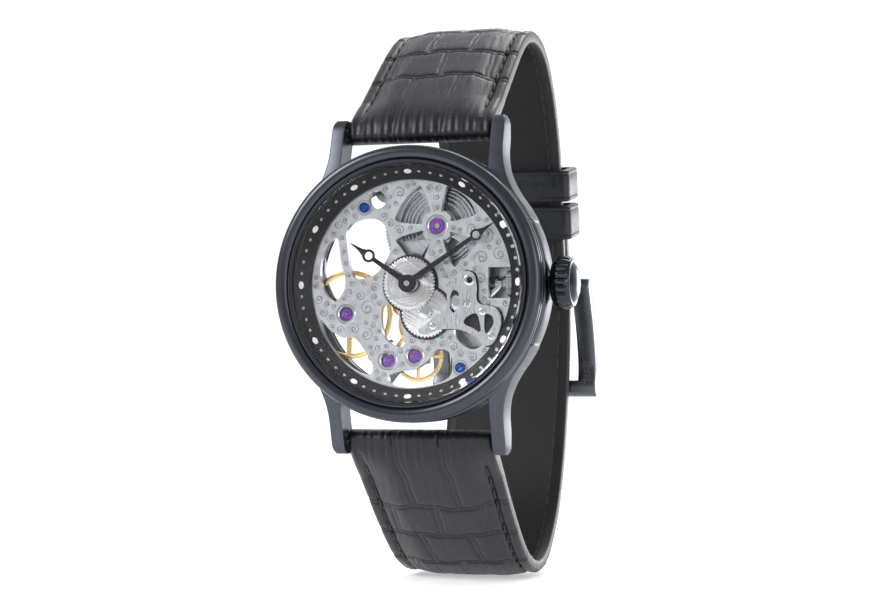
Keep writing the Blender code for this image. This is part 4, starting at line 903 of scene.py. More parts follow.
# ---------------------------------------------------------------- plates and bridges
MAINPLATE_WINDOWS = {
    "upper_left": [(-9.4, 8.3), (-6.2, 9.5), (-4.0, 8.6), (-2.9, 5.6), (-3.9, 3.0), (-5.6, 1.3), (-7.8, 0.8),
                   (-8.8, 1.6), (-9.4, 4.4)],
    "left": [(-13.0, 5.0), (-11.1, 6.8), (-10.5, 3.4), (-9.9, 1.2), (-10.0, -0.7), (-11.5, -2.4),
             (-13.1, -0.8), (-13.7, 2.0)],
    "lower_left": [(-13.6, -5.0), (-12.0, -6.6), (-10.2, -7.6), (-8.4, -7.7), (-6.9, -9.5), (-5.7, -11.5),
                   (-6.1, -12.9), (-8.4, -12.3), (-10.8, -10.3), (-12.8, -7.6)],
    "bottom": [(-1.8, -12.5), (0.6, -12.2), (2.4, -11.1), (3.9, -9.4), (5.9, -10.0), (6.0, -12.9),
               (4.0, -14.2), (0.6, -14.8), (-2.6, -14.5), (-3.3, -13.3)],
    "centre_left": [(-4.0, -3.0), (-2.2, -3.6), (-1.2, -6.4), (-0.9, -8.6), (-2.2, -8.9), (-3.9, -7.6),
                    (-4.4, -5.0)],
    "lower_right": [(6.9, -5.4), (9.6, -4.4), (12.3, -5.6), (11.2, -8.3), (8.9, -9.4), (6.6, -7.6)],
}
BARREL_WINDOWS = ((15, 75), (112, 172), (196, 246), (292, 338))
STEM_WINDOW = [(11.5, -2.2), (16.2, -2.2), (16.2, 2.2), (11.5, 2.2)]
PEEPHOLE = (-4.9, 12.2)
PLATE_BORES = (
    (BARREL, 1.15), (FOURTH, 1.0), (ESCAPE, 1.0), (BALANCE, 1.0), (COVER_SCREW, 0.36),
    (DIAL_SCREWS[0], 0.42), (DIAL_SCREWS[1], 0.42), (SETTING, 0.3), (MINUTE, 0.3),
)
PLATE_CLEAR = (
    (*CENTRE, 4.6), (*MINUTE, 3.6), (*SETTING, 2.2), (*BARREL, 1.7), (*FOURTH, 1.55), (*ESCAPE, 1.55),
    (*BALANCE, 1.55), (*DIAL_SCREWS[0], 1.2), (*DIAL_SCREWS[1], 1.2),
)


def make_mainplate():
    """The skeletonised plate: smooth windows with bevelled edges, and scrolls engraved between them."""
    windows = [smooth_loop(window, 6) for window in MAINPLATE_WINDOWS.values()]
    for start, end in BARREL_WINDOWS:
        sector = sector_hole(BARREL, 2.4, 6.2, math.radians(start), math.radians(end), 4)
        windows.append(smooth_loop(sector, 4))
    windows += [STEM_WINDOW, circle(PEEPHOLE, 1.3), circle(CENTRE, 1.3)]
    windows += [circle(centre, radius, 32) for centre, radius in PLATE_BORES]
    settle(plate("main_plate", [circle(CENTRE, 18.3, 128)] + windows, PLATE_LEVEL, PLATE_STEEL, 0.13),
           "case", "satin_steel", "mainplate")
    top = PLATE_LEVEL[1]
    engrave("plate_scrolls", circle(CENTRE, DIAL_OPENING_RADIUS, 90), windows, top, 1, 0.2, (0.42, 1.25),
            PLATE_CLEAR)
    settings = []
    for centre, radius in ((BARREL, 1.2), (FOURTH, 1.02), (ESCAPE, 1.02), (BALANCE, 1.02)):
        settings.append(turned("setting", [
            (radius, top - 0.05), (radius + 0.42, top - 0.05), (radius + 0.42, top + 0.09),
            (radius + 0.34, top + 0.15), (radius + 0.1, top + 0.15), (radius, top + 0.05)],
            POLISHED, centre, 56))
    for centre in DIAL_SCREWS:
        settings.append(turned("seat", rectangle(top - 0.05, top + 0.06, 0.95, 1.12), DARK_STEEL, centre, 40))
    settings.append(turned("sink", rectangle(top - 0.1, top + 0.05, 1.3, 1.42), POLISHED, PEEPHOLE, 48))
    settle(join("jewel_settings", settings), "case", "polished_steel")


def make_painted_shade():
    """Flat black discs on the plate under the motion work and round the keyless cover: painted shade that
    shows as a dark gap round their teeth and edges.
    """
    top = PLATE_LEVEL[1]
    # The keyless cover's outline, grown a little: a painted gap shadow round its edge.
    middle = Vector((7.4, -3.6))
    grown = [tuple(middle + (Vector(p) - middle) * 1.035) for p in smooth_loop(COVER_OUTLINE)]
    shade_discs = []
    for outline, rise in ((circle(CENTRE, 4.2, 90), 0.020), (circle(MINUTE, 3.95, 90), 0.026),
                          (grown, 0.014)):
        # Each sink is a thin flat disc of painted shade lying on the plate, not a cut into it.
        sink = add_mesh("sink", *extrude_loops([outline], top, top + rise), PAINTED_SHADE_BLACK)
        for centre, radius in ((CENTRE, 0.6), (MINUTE, 0.3), (SETTING, 0.3)):
            bore = extrude_loops([circle(centre, radius, 32)], top - 0.2, top + 0.2)
            combine(sink, add_mesh("bore", *bore, PAINTED_SHADE_BLACK))
        shade_discs.append(sink)
    settle(join("motion_painted_shade", shade_discs), "case", "black_steel")


def post(centre):
    level = (BRIDGE_LEVEL[1] - 0.2, PLATE_LEVEL[0] - 0.05)
    return turned("post", rectangle(*level, POST_BORE + 0.05, 0.75), BRIDGE_STEEL, centre, 32)


def bridge(name, node, outline, holes, posts):
    """An engraved bridge plate with the posts that it stands on."""
    loops = [smooth_loop(outline)] + holes + [circle(centre, POST_BORE, 20) for centre in posts]
    made = plate(name, loops, BRIDGE_LEVEL, BRIDGE_STEEL, 0.1)
    for centre in posts:
        combine(made, post(centre), "UNION")
    settle(made, "case", "satin_steel", node)
    clear = [(*centre, 0.8) for centre in posts]
    engrave(name + "_scrolls", loops[0], loops[1:], BRIDGE_LEVEL[0], -1, 0.3, keep_clear=clear)


def make_bridges():
    bridge("barrel_bridge_plate", "barrel_bridge", [
        (-2.6, 8.6), (-1.8, 3.6), (0.6, 1.6), (3.2, 1.2), (6.2, -1.0), (8.6, -3.4), (12.5, -4.6),
        (16.0, -3.6),
        (17.0, 0.0), (16.6, 5.8), (13.6, 11.0), (9.6, 15.0), (4.4, 17.2), (-1.6, 17.0), (-7.0, 15.8),
        (-6.0, 12.6), (-3.4, 11.4)],
        [circle(BARREL, 1.3, 40), circle(CROWN_WHEEL, 1.0, 32),
         [(13.6, -1.9), (15.6, -1.9), (15.6, 1.9), (13.6, 1.9)]], BARREL_BRIDGE_POSTS)
    bridge("train_bridge_plate", "train_bridge", [
        (-0.8, 0.6), (0.5, 0.8), (1.1, -0.6), (2.6, -3.6), (5.6, -5.6), (10.4, -7.8), (13.6, -8.6),
        (14.2, -9.9), (13.2, -10.9), (9.2, -11.0), (5.2, -9.2), (2.2, -9.4), (1.7, -11.2), (-0.4, -11.5),
        (-2.4, -12.2), (-4.4, -14.6), (-5.1, -16.6), (-6.4, -17.2), (-7.4, -16.4), (-7.0, -14.9),
        (-5.6, -12.4), (-4.7, -10.2), (-3.2, -9.6), (-0.6, -8.8), (0.5, -6.6), (0.2, -4.2), (-0.9, -0.8)],
        [circle(centre, 0.32, 24) for centre in (CENTRE, THIRD, FOURTH, ESCAPE)], TRAIN_BRIDGE_POSTS)
    bridge("balance_cock_plate", "balance_cock", [
        (-17.4, 4.4), (-16.0, 5.6), (-14.4, 4.4), (-14.2, 1.4), (-12.6, -1.8), (-9.6, -2.4), (-8.0, -4.2),
        (-9.7, -5.9), (-11.8, -4.4), (-14.6, -2.4), (-16.6, 0.6)],
        [circle(BALANCE, 0.32, 24)], COCK_POSTS)
    outline = smooth_loop([(-7.4, -10.6), (-6.4, -10.9), (-4.8, -9.4), (-4.8, -8.2), (-6.0, -8.0),
                           (-7.2, -9.4)], 5)
    settle(plate("pallet_bridge_plate", [outline, circle(PALLET, 0.25, 20)], (3.4, 3.8), BRIDGE_STEEL, 0.06),
           "case", "satin_steel", "pallet_bridge")

    pivot_level = (PLATE_LEVEL[0] + 0.2, PLATE_LEVEL[1] - 0.1)
    jewels = (("barrel_jewel", BARREL, (PLATE_LEVEL[0] + 0.1, PLATE_LEVEL[1] + 0.1), 1.05, 0.5),
              ("fourth_jewel", FOURTH, pivot_level, 0.9, 0.2),
              ("escape_jewel", ESCAPE, pivot_level, 0.9, 0.2),
              ("balance_jewel", BALANCE, pivot_level, 0.9, 0.2))
    for node, centre, level, radius, bore in jewels:
        low, high = level
        made = turned(node + "_stone", [
            (bore, low), (radius - 0.05, low), (radius, low + 0.05), (radius, high - 0.08),
            (radius - 0.08, high), (radius * 0.62, high), (radius * 0.5, high - 0.1),
            (bore + 0.04, high - 0.2), (bore, high - 0.24)],
            RUBY, centre, 48)
        settle(made, "case", "ruby", node)
    holes = []
    for centre in (CENTRE, THIRD, FOURTH, ESCAPE, BALANCE):
        low = BRIDGE_LEVEL[0]
        holes.append(turned("hole_jewel", [(0.34, low - 0.04), (0.62, low - 0.04), (0.56, low - 0.1),
                                           (0.38, low - 0.1), (0.34, low - 0.06)], RUBY, centre, 32))
        holes.append(turned("hole_setting", [(0.64, low - 0.02), (0.86, low - 0.02), (0.82, low - 0.09),
                                             (0.66, low - 0.09)], BRIGHT_GILT, centre, 32))
    settle(join("bridge_jewels", holes), "case", "ruby")


COVER_OUTLINE = [(3.9, -4.5), (5.6, -3.6), (5.7, -1.4), (6.6, 0.4), (8.0, 1.6), (9.5, 1.3), (10.0, -0.4),
                 (10.2, -2.8), (12.8, -3.6), (13.6, -5.6), (12.6, -8.4), (11.0, -8.9), (9.4, -7.4),
                 (7.2, -6.6), (4.6, -6.6), (2.4, -7.3), (1.4, -6.6), (3.0, -5.4)]


def make_keyless_cover():
    """The brushed plate over the setting wheels, with raised bosses round its screws and pins."""
    windows = [
        smooth_loop([(6.1, -2.0), (6.6, -1.0), (7.4, -1.5), (7.5, -2.9), (6.7, -4.2), (6.0, -3.4)]),
        smooth_loop([(8.4, -5.0), (10.0, -4.4), (10.6, -6.9), (9.4, -6.4), (8.2, -5.8)]),
        smooth_loop([(11.2, -4.6), (12.3, -4.8), (12.4, -6.0), (11.3, -7.2)]),
        circle((9.0, 0.4), 0.45, 28), circle(COVER_SCREW, 0.5, 28),
    ]
    made = plate("cover_plate", [smooth_loop(COVER_OUTLINE)] + windows, COVER_LEVEL, COVER_STEEL, 0.06)
    settle(made, "case", "satin_steel", "keyless_cover")
    bosses = []
    top = COVER_LEVEL[1]
    for centre, radius in (((9.0, 0.4), 0.5), ((12.2, -7.6), 0.22), ((3.6, -6.1), 0.2), ((10.9, -4.1), 0.2)):
        bosses.append(turned("boss", [(radius * 0.9, top - 0.03), (radius + 0.28, top - 0.03),
                                      (radius + 0.28, top + 0.07), (radius + 0.2, top + 0.1),
                                      (radius * 0.9, top + 0.1)], POLISHED, centre, 36))
    settle(join("cover_bosses", bosses), "case", "polished_steel")


def screw(name, node, centre, head_radius, bottom, facing, length, material, slot="blued_steel"):
    """A slotted screw with a domed, chamfered head."""
    shank = head_radius * 0.45
    head = bottom + facing * 0.35
    profile = [(0, bottom - facing * length), (shank, bottom - facing * length), (shank, bottom),
               (head_radius, bottom), (head_radius, head - facing * 0.1),
               (head_radius - 0.08, head - facing * 0.02), (head_radius * 0.5, head), (0, head)]
    made = turned(name, profile, material, centre, 48)
    reach = head_radius * 1.2
    cut_slot(made, centre, math.radians(35 + 40 * sum(centre)), (-reach, reach), 0.07,
             *sorted((head - facing * 0.14, head + facing * 0.2)))
    settle(made, "case", slot, node)


def make_screws():
    for number, (node, centre) in enumerate(zip(("dial_screw_upper", "dial_screw_lower"), DIAL_SCREWS)):
        screw(f"dial_screw_{number}", node, centre, 0.75, PLATE_LEVEL[1] + 0.05, 1, 0.8, BLUED)
    screw("cover_screw_head", "cover_screw", COVER_SCREW, 0.62, COVER_LEVEL[1] + 0.05, 1, 1.2, POLISHED,
          "polished_steel")
    names = ("barrel_bridge_screw_1", "barrel_bridge_screw_2", "train_bridge_screw_1",
             "train_bridge_screw_2", "balance_cock_screw")
    for node, centre in zip(names, BARREL_BRIDGE_POSTS + TRAIN_BRIDGE_POSTS + COCK_POSTS):
        screw(node + "_head", node, centre, 0.6, BRIDGE_LEVEL[0] - 0.05, -1, 3.2, BLUED)


# ---------------------------------------------------------------- wheels
def wheel(name, node, body, centre, teeth, pitch_radius, level, spokes, arbor, pinion):
    """A crossed-out gilt wheel with its polished arbor and pinion."""
    rim = pitch_radius - 1.2 * 2 * pitch_radius / teeth - 0.45
    low, high = level
    leaves, radius, phase, bottom, top = pinion
    parts = [
        cog("disc", centre, pitch_radius, teeth, 0, level, GILT, 0.03,
            crossings(centre, 0.9, rim, spokes, 0, 0.5)),
        axle(arbor, centre, segments=40),
        turned("hub", [(0.2, low - 0.04), (0.7, low - 0.04), (0.74, low), (0.74, high), (0.7, high + 0.04),
                       (0.2, high + 0.04)], BRIGHT_GILT, centre, 36),
        cog("leaf", centre, radius, leaves, phase, (bottom, top), POLISHED, 0.02)]
    on_axis(name, parts, centre, body, "gilt_brass", node)


HAIRSPRING_TURNS = 7
MAINSPRING_TURNS = 7
ESCAPE_TOOTH = ((1.75, 0.0), (1.8, 0.03), (2.2, 0.16), (2.3, 0.22), (2.22, 0.215), (1.8, 0.15), (1.75, 0.13))


def make_barrel(radius):
    """The toothed drum with its three openings, and the stepped rings on its face."""
    low, high = BARREL_TOOTH_LEVEL
    holes = [circle(BARREL, 0.95, 32)]
    for number in range(3):
        start = TURN * number / 3
        holes.append(smooth_loop(sector_hole(BARREL, 2.6, 5.8, start, start + 1.4, 4), 4))
    wall = rectangle(CENTRE_WHEEL_LEVEL[1] + 0.3, low + 0.1, radius - 0.9, radius - 0.45)
    parts = [cog("drum_plate", BARREL, radius, BARREL_TEETH, 0, BARREL_TOOTH_LEVEL, DARK_STEEL, 0.03, holes),
             turned("drum_wall", wall, DARK_STEEL, BARREL, 96)]
    on_axis("drum", parts, BARREL, "barrel", "satin_steel", "barrel_drum")
    ring = turned("drum_rings", [(0.96, high - 0.02), (2.3, high - 0.02), (2.3, high + 0.06),
                                 (1.9, high + 0.1), (1.2, high + 0.1), (0.96, high + 0.04)],
                  WHEEL_STEEL, BARREL, 64)
    settle(centred(ring, BARREL), "barrel", "satin_steel")


def make_going_train():
    pivot = BRIDGE_LEVEL[0] + 0.3
    foot = (0.22, pivot, 3.3)
    top = PLATE_LEVEL[0] + 0.6
    low, high = BARREL_TOOTH_LEVEL
    barrel_radius, centre_pinion, centre_phase = mesh_gears(BARREL, CENTRE, BARREL_TEETH, CENTRE_LEAVES)
    centre_radius, third_pinion, third_phase = mesh_gears(CENTRE, THIRD, CENTRE_TEETH, THIRD_LEAVES)
    third_radius, fourth_pinion, fourth_phase = mesh_gears(THIRD, FOURTH, THIRD_TEETH, FOURTH_LEAVES)
    fourth_radius, escape_pinion, escape_phase = mesh_gears(FOURTH, ESCAPE, FOURTH_TEETH, ESCAPE_LEAVES)
    make_barrel(barrel_radius)
    wheel("centre_gear", "centre_wheel", "centre", CENTRE, CENTRE_TEETH, centre_radius, CENTRE_WHEEL_LEVEL, 5,
          [foot, (0.55, 3.3, low), (0.5, 5.6, 7.6), (0.4, 7.6, 9.1)],
          (CENTRE_LEAVES, centre_pinion, centre_phase, low - 0.1, high + 0.1))
    wheel("third_gear", "third_wheel", "third", THIRD, THIRD_TEETH, third_radius, THIRD_WHEEL_LEVEL, 5,
          [foot, (0.4, 3.3, 5.2), (0.2, 5.2, PLATE_LEVEL[0] - 0.08)],
          (THIRD_LEAVES, third_pinion, third_phase, 3.5, 3.95))
    wheel("fourth_gear", "fourth_wheel", "fourth", FOURTH, FOURTH_TEETH, fourth_radius, FOURTH_WHEEL_LEVEL, 4,
          [foot, (0.35, 3.3, 5.4), (0.15, 5.4, top)],
          (FOURTH_LEAVES, fourth_pinion, fourth_phase, 4.25, 4.7))

    outline = [on_circle(ESCAPE, radius, 0.1 + TURN * index / ESCAPE_TEETH + turn)
               for index in range(ESCAPE_TEETH) for radius, turn in ESCAPE_TOOTH]
    parts = [
        plate("disc", [outline] + crossings(ESCAPE, 0.7, 1.45, 4, 0, 0.35), ESCAPE_LEVEL, WHEEL_STEEL, 0.02),
        axle([foot, (0.25, 3.3, 5.4), (0.15, 5.4, top)], ESCAPE, 0.02),
        cog("leaf", ESCAPE, escape_pinion, ESCAPE_LEAVES, escape_phase, (4.8, 5.25), POLISHED, 0.02)]
    on_axis("escape_gear", parts, ESCAPE, "escape", "polished_steel", "escape_wheel")


def make_escapement():
    place = view_from(PALLET, direction(PALLET, ESCAPE))
    lever = view_from(PALLET, direction(PALLET, BALANCE))
    reach = distance(PALLET, BALANCE) - 1.55
    outline = [place(0.55, -1.9), place(1.0, -2.0), place(0.9, -1.6), place(0.45, -0.6), place(0.45, 0.6),
               place(0.9, 1.6), place(1.0, 2.0), place(0.55, 1.9), place(0.0, 0.7),
               lever(0.9, -0.2), lever(reach - 0.7, -0.15), lever(reach - 0.35, -0.55), lever(reach, -0.5),
               lever(reach - 0.2, -0.18), lever(reach - 0.2, 0.18), lever(reach, 0.5),
               lever(reach - 0.35, 0.55), lever(reach - 0.7, 0.15), lever(0.9, 0.2), place(0.0, -0.7)]
    parts = [plate("fork", [outline], ESCAPE_LEVEL, POLISHED, 0.04),
             axle([(0.15, 3.3, 4.0), (0.3, 4.0, 4.6)], PALLET)]
    for side in (-1, 1):
        stone = [place(0.6, side * 1.72), place(0.98, side * 1.78), place(0.98, side * 1.96),
                 place(0.6, side * 1.88)]
        parts.append(plate("stone", [stone], (ESCAPE_LEVEL[0] - 0.05, ESCAPE_LEVEL[1] + 0.05), RUBY, 0))
    settle(join("pallet_lever", parts), "pallet", "polished_steel", "pallet_fork")

    low, high = BALANCE_LEVEL
    rim = [circle(BALANCE, 6.4, 128)] + crossings(BALANCE, 1.0, 5.7, 3, 0.5, 0.8)
    parts = [
        plate("rim", rim, BALANCE_LEVEL, GILT, 0.08),
        axle([(0.22, BRIDGE_LEVEL[0] + 0.3, 3.4), (0.35, 3.4, 4.15)], BALANCE),
        axle([(0.2, 4.15, 4.45), (1.0, 4.45, 4.6), (0.35, 4.6, 5.6), (0.15, 5.6, PLATE_LEVEL[0] + 0.6)],
             BALANCE, segments=40),
        turned("collet", rectangle(low - 0.03, high + 0.03, 0.3, 0.95), BRIGHT_GILT, BALANCE, 40)]
    on_axis("balance", parts, BALANCE, "balance", "gilt_brass", "balance_wheel")
    stud = direction(BALANCE, COCK_POSTS[0])
    settle(coil("hairspring_coils", BALANCE, stud - TURN * HAIRSPRING_TURNS, HAIRSPRING_TURNS, 48,
                (0.72, 2.70), 1, 0.022, (3.6, 3.8), BLUED), "case", "blued_steel", "hairspring")


def make_mainspring():
    settle(coil("mainspring_coils", BARREL, 0, MAINSPRING_TURNS, 40, (3.34, 6.96), 0.8, 0.07, (4.3, 5.15),
                SPRING), "barrel", "spring_steel", "mainspring")


def make_motion_works():
    cannon_radius, minute_radius, minute_phase = mesh_gears(CENTRE, MINUTE, CANNON_TEETH, MINUTE_TEETH)
    pinion_radius, hour_radius, hour_phase = mesh_gears(MINUTE, CENTRE, MINUTE_LEAVES, HOUR_TEETH)
    _, setting_radius, setting_phase = mesh_gears(MINUTE, SETTING, MINUTE_TEETH, SETTING_TEETH, minute_phase)
    low, high = MINUTE_WHEEL_LEVEL
    top = HOUR_WHEEL_LEVEL[1]
    cannon = [
        cog("teeth", CENTRE, cannon_radius, CANNON_TEETH, 0, (low, high + 0.1), POLISHED, 0.02,
            [circle(CENTRE, 0.56, 32)]),
        turned("tube", [(0.58, 7.3), (0.8, 7.3), (0.8, 8.62), (0.76, 8.68), (0.58, 8.68)], POLISHED,
               CENTRE, 40)]
    settle(join("cannon", cannon), "centre", "satin_steel", "cannon_pinion")
    minute = [
        cog("disc", MINUTE, minute_radius, MINUTE_TEETH, minute_phase, MINUTE_WHEEL_LEVEL, WHEEL_STEEL,
            0.025),
        axle([(0.22, 6.3, 7.2), (0.5, 7.2, 7.4)], MINUTE, 0.02),
        cog("leaf", MINUTE, pinion_radius, MINUTE_LEAVES, 0, (high - 0.05, top + 0.05), POLISHED, 0.02)]
    on_axis("minute_gear", minute, MINUTE, "minute_wheel", "satin_steel", "minute_wheel")
    hour = [
        cog("disc", CENTRE, hour_radius, HOUR_TEETH, hour_phase, HOUR_WHEEL_LEVEL, WHEEL_STEEL, 0.03,
            [circle(CENTRE, 0.9, 40)]),
        turned("tube", [(0.92, 7.7), (1.1, 7.7), (1.1, 8.22), (1.06, 8.26), (0.92, 8.26)], POLISHED,
               CENTRE, 48),
        turned("step", rectangle(top - 0.02, top + 0.03, hour_radius * 0.8, hour_radius * 0.84), WHEEL_STEEL,
               CENTRE, 96)]
    settle(join("hour_gear", hour), "hour", "satin_steel", "hour_wheel")
    setting = [
        cog("disc", SETTING, setting_radius, SETTING_TEETH, setting_phase, MINUTE_WHEEL_LEVEL, WHEEL_STEEL,
            0.025),
        axle([(0.22, 6.3, 7.2), (0.5, 7.2, 7.45)], SETTING, 0.02)]
    on_axis("setting_gear", setting, SETTING, "setting_wheel", "satin_steel", "setting_wheel")


HAND_HUB = 1.25
HAND_ROOT_HALF = 0.4
HAND_NECK_HALF = 0.30
EYE_SWEEP = 0.80 * math.pi


# ---------------------------------------------------------------- hands
def pomme_hand(name, body, length, eye_distance, eye_radius, clock_angle, level, hole):
    """A slim hand with an open round eye, soft edges and a ring at its hub."""
    opening = math.pi / 2 - math.acos(HAND_ROOT_HALF / HAND_HUB)
    gap = math.asin(HAND_NECK_HALF / eye_radius)
    eye = (0, eye_distance)
    spade = eye_distance + eye_radius * 1.6
    tip = [(0.48, eye_distance + eye_radius * 1.05), (0.29, spade), (0.16, (spade + length) / 2),
           (0.055, length)]
    bottom = -math.pi / 2
    outline = (sweep_points(CENTRE, HAND_HUB, math.pi / 2 + opening, math.pi / 2 - opening + TURN, 28)
               + sweep_points(eye, eye_radius, bottom + gap, bottom + EYE_SWEEP, 12)
               + tip + [(-x, z) for x, z in reversed(tip)]
               + sweep_points(eye, eye_radius, bottom - EYE_SWEEP, bottom - gap, 12))
    place = view_from(CENTRE, -clock_angle)
    placed = [[place(x, z) for x, z in loop]
              for loop in (outline, circle(eye, eye_radius * 0.62), circle(CENTRE, hole))]
    settle(plate(name + "_blade", placed, level, HAND_BLACK, 0.035), body, "dial_black", name)


def make_hands():
    pomme_hand("hour_hand", "hour", 10.4, 7.1, 0.95, math.radians(304.7), HOUR_HAND_LEVEL, 0.9)
    pomme_hand("minute_hand", "centre", 15.2, 12.2, 0.85, math.radians(56.7), MINUTE_HAND_LEVEL, 0.45)
    top = MINUTE_HAND_LEVEL[1]
    cap = turned("centre_cap", [(0, top + 0.16), (0.25, top + 0.15), (0.36, top + 0.1), (0.39, top + 0.02),
                                (0.39, top - 0.02), (0, top - 0.02)], POLISHED, CENTRE, 40)
    settle(cap, "centre", "satin_steel")


CROWN_START = 20.3
CROWN_FLUTES = 20
CROWN_STATIONS = [
    (1.25, 0.9, 0), (1.25, 0.0, 0), (2.62, 0.0, 0), (3.0, 0.12, 0.06), (3.4, 0.45, 0.2), (3.72, 0.9, 0.30),
    (3.8, 1.4, 0.34), (3.8, 2.1, 0.34), (3.72, 2.45, 0.28), (3.58, 2.62, 0.10), (3.5, 2.7, 0),
    (3.46, 2.86, 0), (3.3, 3.0, 0), (3.12, 3.02, 0), (3.0, 2.96, 0), (2.9, 2.98, 0), (2.6, 3.24, 0),
    (2.0, 3.52, 0), (1.3, 3.70, 0), (0.6, 3.78, 0)]
LEVER_OUTLINE = [(12.6, 4.4), (12.7, 3.6), (13.4, 3.3), (15.4, 2.2), (15.6, 0.4), (15.65, -0.25),
                 (16.05, -0.25), (16.1, 0.6), (15.9, 2.6), (14.0, 4.0), (13.5, 4.6)]
YOKE_OUTLINE = [(9.0, -3.8), (9.4, -2.9), (11.4, -1.2), (12.55, -0.3), (12.6, 0.2), (13.0, 0.2),
                (13.05, -0.5), (11.9, -1.8), (10.3, -3.2), (9.8, -4.0)]


# ---------------------------------------------------------------- winding and setting work
def make_crown():
    """An onion crown: rounded flutes, a polished rim and a domed end."""
    segments = CROWN_FLUTES * 10
    points = [(CROWN_START + 0.9, -STEM_HEIGHT, 0)]
    for radius, along, depth in CROWN_STATIONS:
        for index in range(segments):
            angle = TURN * index / segments
            groove = (0.5 - 0.5 * math.cos(CROWN_FLUTES * angle)) ** 2.2
            y, z = on_circle((-STEM_HEIGHT, 0), radius - depth * groove, angle)
            points.append((CROWN_START + along, y, z))
    points.append((CROWN_START + 3.8, -STEM_HEIGHT, 0))
    faces = skin(len(CROWN_STATIONS), segments, 1, capped=False)
    last = len(points) - 1
    for step in range(segments):
        after = (step + 1) % segments
        faces += [(0, 1 + after, 1 + step), (last, last - segments + step, last - segments + after)]
    settle(add_mesh("onion_crown", points, faces, GLOSS_BLACK, sharp=50), "crown", "black_steel", "crown")


def on_stem(name, profile, material, segments, *place):
    """Settles a piece turned round the stem."""
    settle(turned_on_x(name, profile, material, -STEM_HEIGHT, 0, segments), *place)


def make_winding_work():
    make_crown()
    rod = [(0.35, 10.0, 11.4), (0.45, 11.4, 15.6), (0.3, 15.6, 16.1), (0.45, 16.1, 21.15)]
    on_stem("stem_rod", rod_profile(rod, 0.04), POLISHED, 40, "crown", "polished_steel", "winding_stem")
    points, faces = extrude_loops([gear_outline(CENTRE, 1.72, WINDING_TEETH, 0), circle(CENTRE, 0.5, 32)],
                                  13.7, 15.3)
    across = [(-y, x - STEM_HEIGHT, z) for x, y, z in points]
    settle(bevel(add_mesh("pinion_teeth", across, faces, DARK_STEEL), 0.03), "winding", "polished_steel",
           "winding_pinion")
    sleeve = [(0.5, 12.0), (1.0, 12.0), (1.05, 12.05), (1.05, 12.45), (1.0, 12.5), (0.72, 12.55),
              (0.72, 13.05), (1.0, 13.1), (1.05, 13.15), (1.05, 13.55), (1.0, 13.6), (0.5, 13.6)]
    on_stem("clutch_sleeve", sleeve, DARK_STEEL, 48, "clutch", "polished_steel", "sliding_clutch")

    crown_radius, ratchet_radius, phase = mesh_gears(CROWN_WHEEL, BARREL, CROWN_WHEEL_TEETH, RATCHET_TEETH)
    low = RATCHET_LEVEL[0]
    parts = [cog("gear", CROWN_WHEEL, crown_radius, CROWN_WHEEL_TEETH, 0, RATCHET_LEVEL, WHEEL_STEEL, 0.04),
             axle([(0.8, 2.0, 3.1)], CROWN_WHEEL), slotted_cap(CROWN_WHEEL, 1.1, low)]
    on_axis("crown_wheel_gear", parts, CROWN_WHEEL, "crown_wheel", "satin_steel", "crown_wheel")
    parts = [cog("gear", BARREL, ratchet_radius, RATCHET_TEETH, phase, RATCHET_LEVEL, WHEEL_STEEL, 0.04),
             slotted_cap(BARREL, 1.4, low)]
    on_axis("ratchet", parts, BARREL, "ratchet", "satin_steel", "ratchet_wheel")
    rod = rod_profile([(0.85, 2.17, 5.8), (0.42, 5.8, 6.95)], 0.05)
    arbor = turned("arbor_rod", rod, POLISHED, BARREL, 40)
    settle(arbor, "ratchet", "polished_steel", "barrel_arbor")

    place = view_from(CLICK, direction(CLICK, BARREL))
    beak = distance(CLICK, BARREL) - ratchet_radius - 0.3
    outline = [place(*on_circle(CENTRE, 0.7, math.radians(degrees))) for degrees in range(40, 321, 14)]
    outline += [place(beak - 0.5, -0.25), place(beak, 0.1), place(beak - 0.5, 0.3)]
    click = [plate("pawl", [outline], RATCHET_LEVEL, POLISHED, 0.05), slotted_cap(CLICK, 0.42, low)]
    settle(join("click_pawl", click), "click", "satin_steel", "click")
    for name, node, outline, level, pin, pin_x in (
            ("setting_lever_plate", "setting_lever", LEVER_OUTLINE, (5.35, 5.6), (0.14, 4.66, 5.45), 15.85),
            ("yoke_plate", "yoke", YOKE_OUTLINE, (5.5, 5.75), (0.14, 5.12, 5.6), 12.8)):
        parts = [plate("bar", [smooth_loop(outline, 4)], level, POLISHED, 0.04),
                 axle([pin], (pin_x, 0.0), 0, 20)]
        settle(join(name, parts), node, "satin_steel", node)
    tube = [(0.65, 18.9), (1.05, 18.9), (1.05, 20.85), (1.0, 20.9), (0.65, 20.9)]
    on_stem("tube", tube, GLOSS_BLACK, 40, "case", "black_steel", "crown_tube")


def slotted_cap(centre, radius, base):
    """The flat screw head in the middle of a winding wheel, on the side of the case back."""
    cap = turned("cap", [(0, base + 0.02), (radius, base + 0.02), (radius, base - 0.08),
                         (radius - 0.06, base - 0.14), (0, base - 0.14)], POLISHED, centre, 40)
    return cut_slot(cap, centre, 0, (-radius * 1.2, radius * 1.2), 0.09, base - 0.3, base - 0.07)


# ---------------------------------------------------------------- strap
STRAP_HALF_WIDTH = 10.9
STRAP_END_HALF_WIDTH = 10.25
STRAP_PADDED_THICKNESS = 3.6
STRAP_THIN_THICKNESS = 2.3
STITCH_INSET = 1.75
KEEPER_WALL = 1.1
KEEPER_INNER_GAP = 0.15
KEEPER_SIDE_GAP = 0.6
KEEPER_OUTER_GAP = 0.7
LAYER_GAP = 0.3
BUCKLE_BAR = (48.75, 2.2)
BUCKLE_BAR_RADIUS = 0.7
BUCKLE_HALF_WIDTH = 14.2
BUCKLE_OPENING_HALF_WIDTH = 11.2
REAR_START = (50.1, 0.9)
REAR_SLOPE = math.atan2(45.6 - REAR_START[0], 24.5 - REAR_START[1])
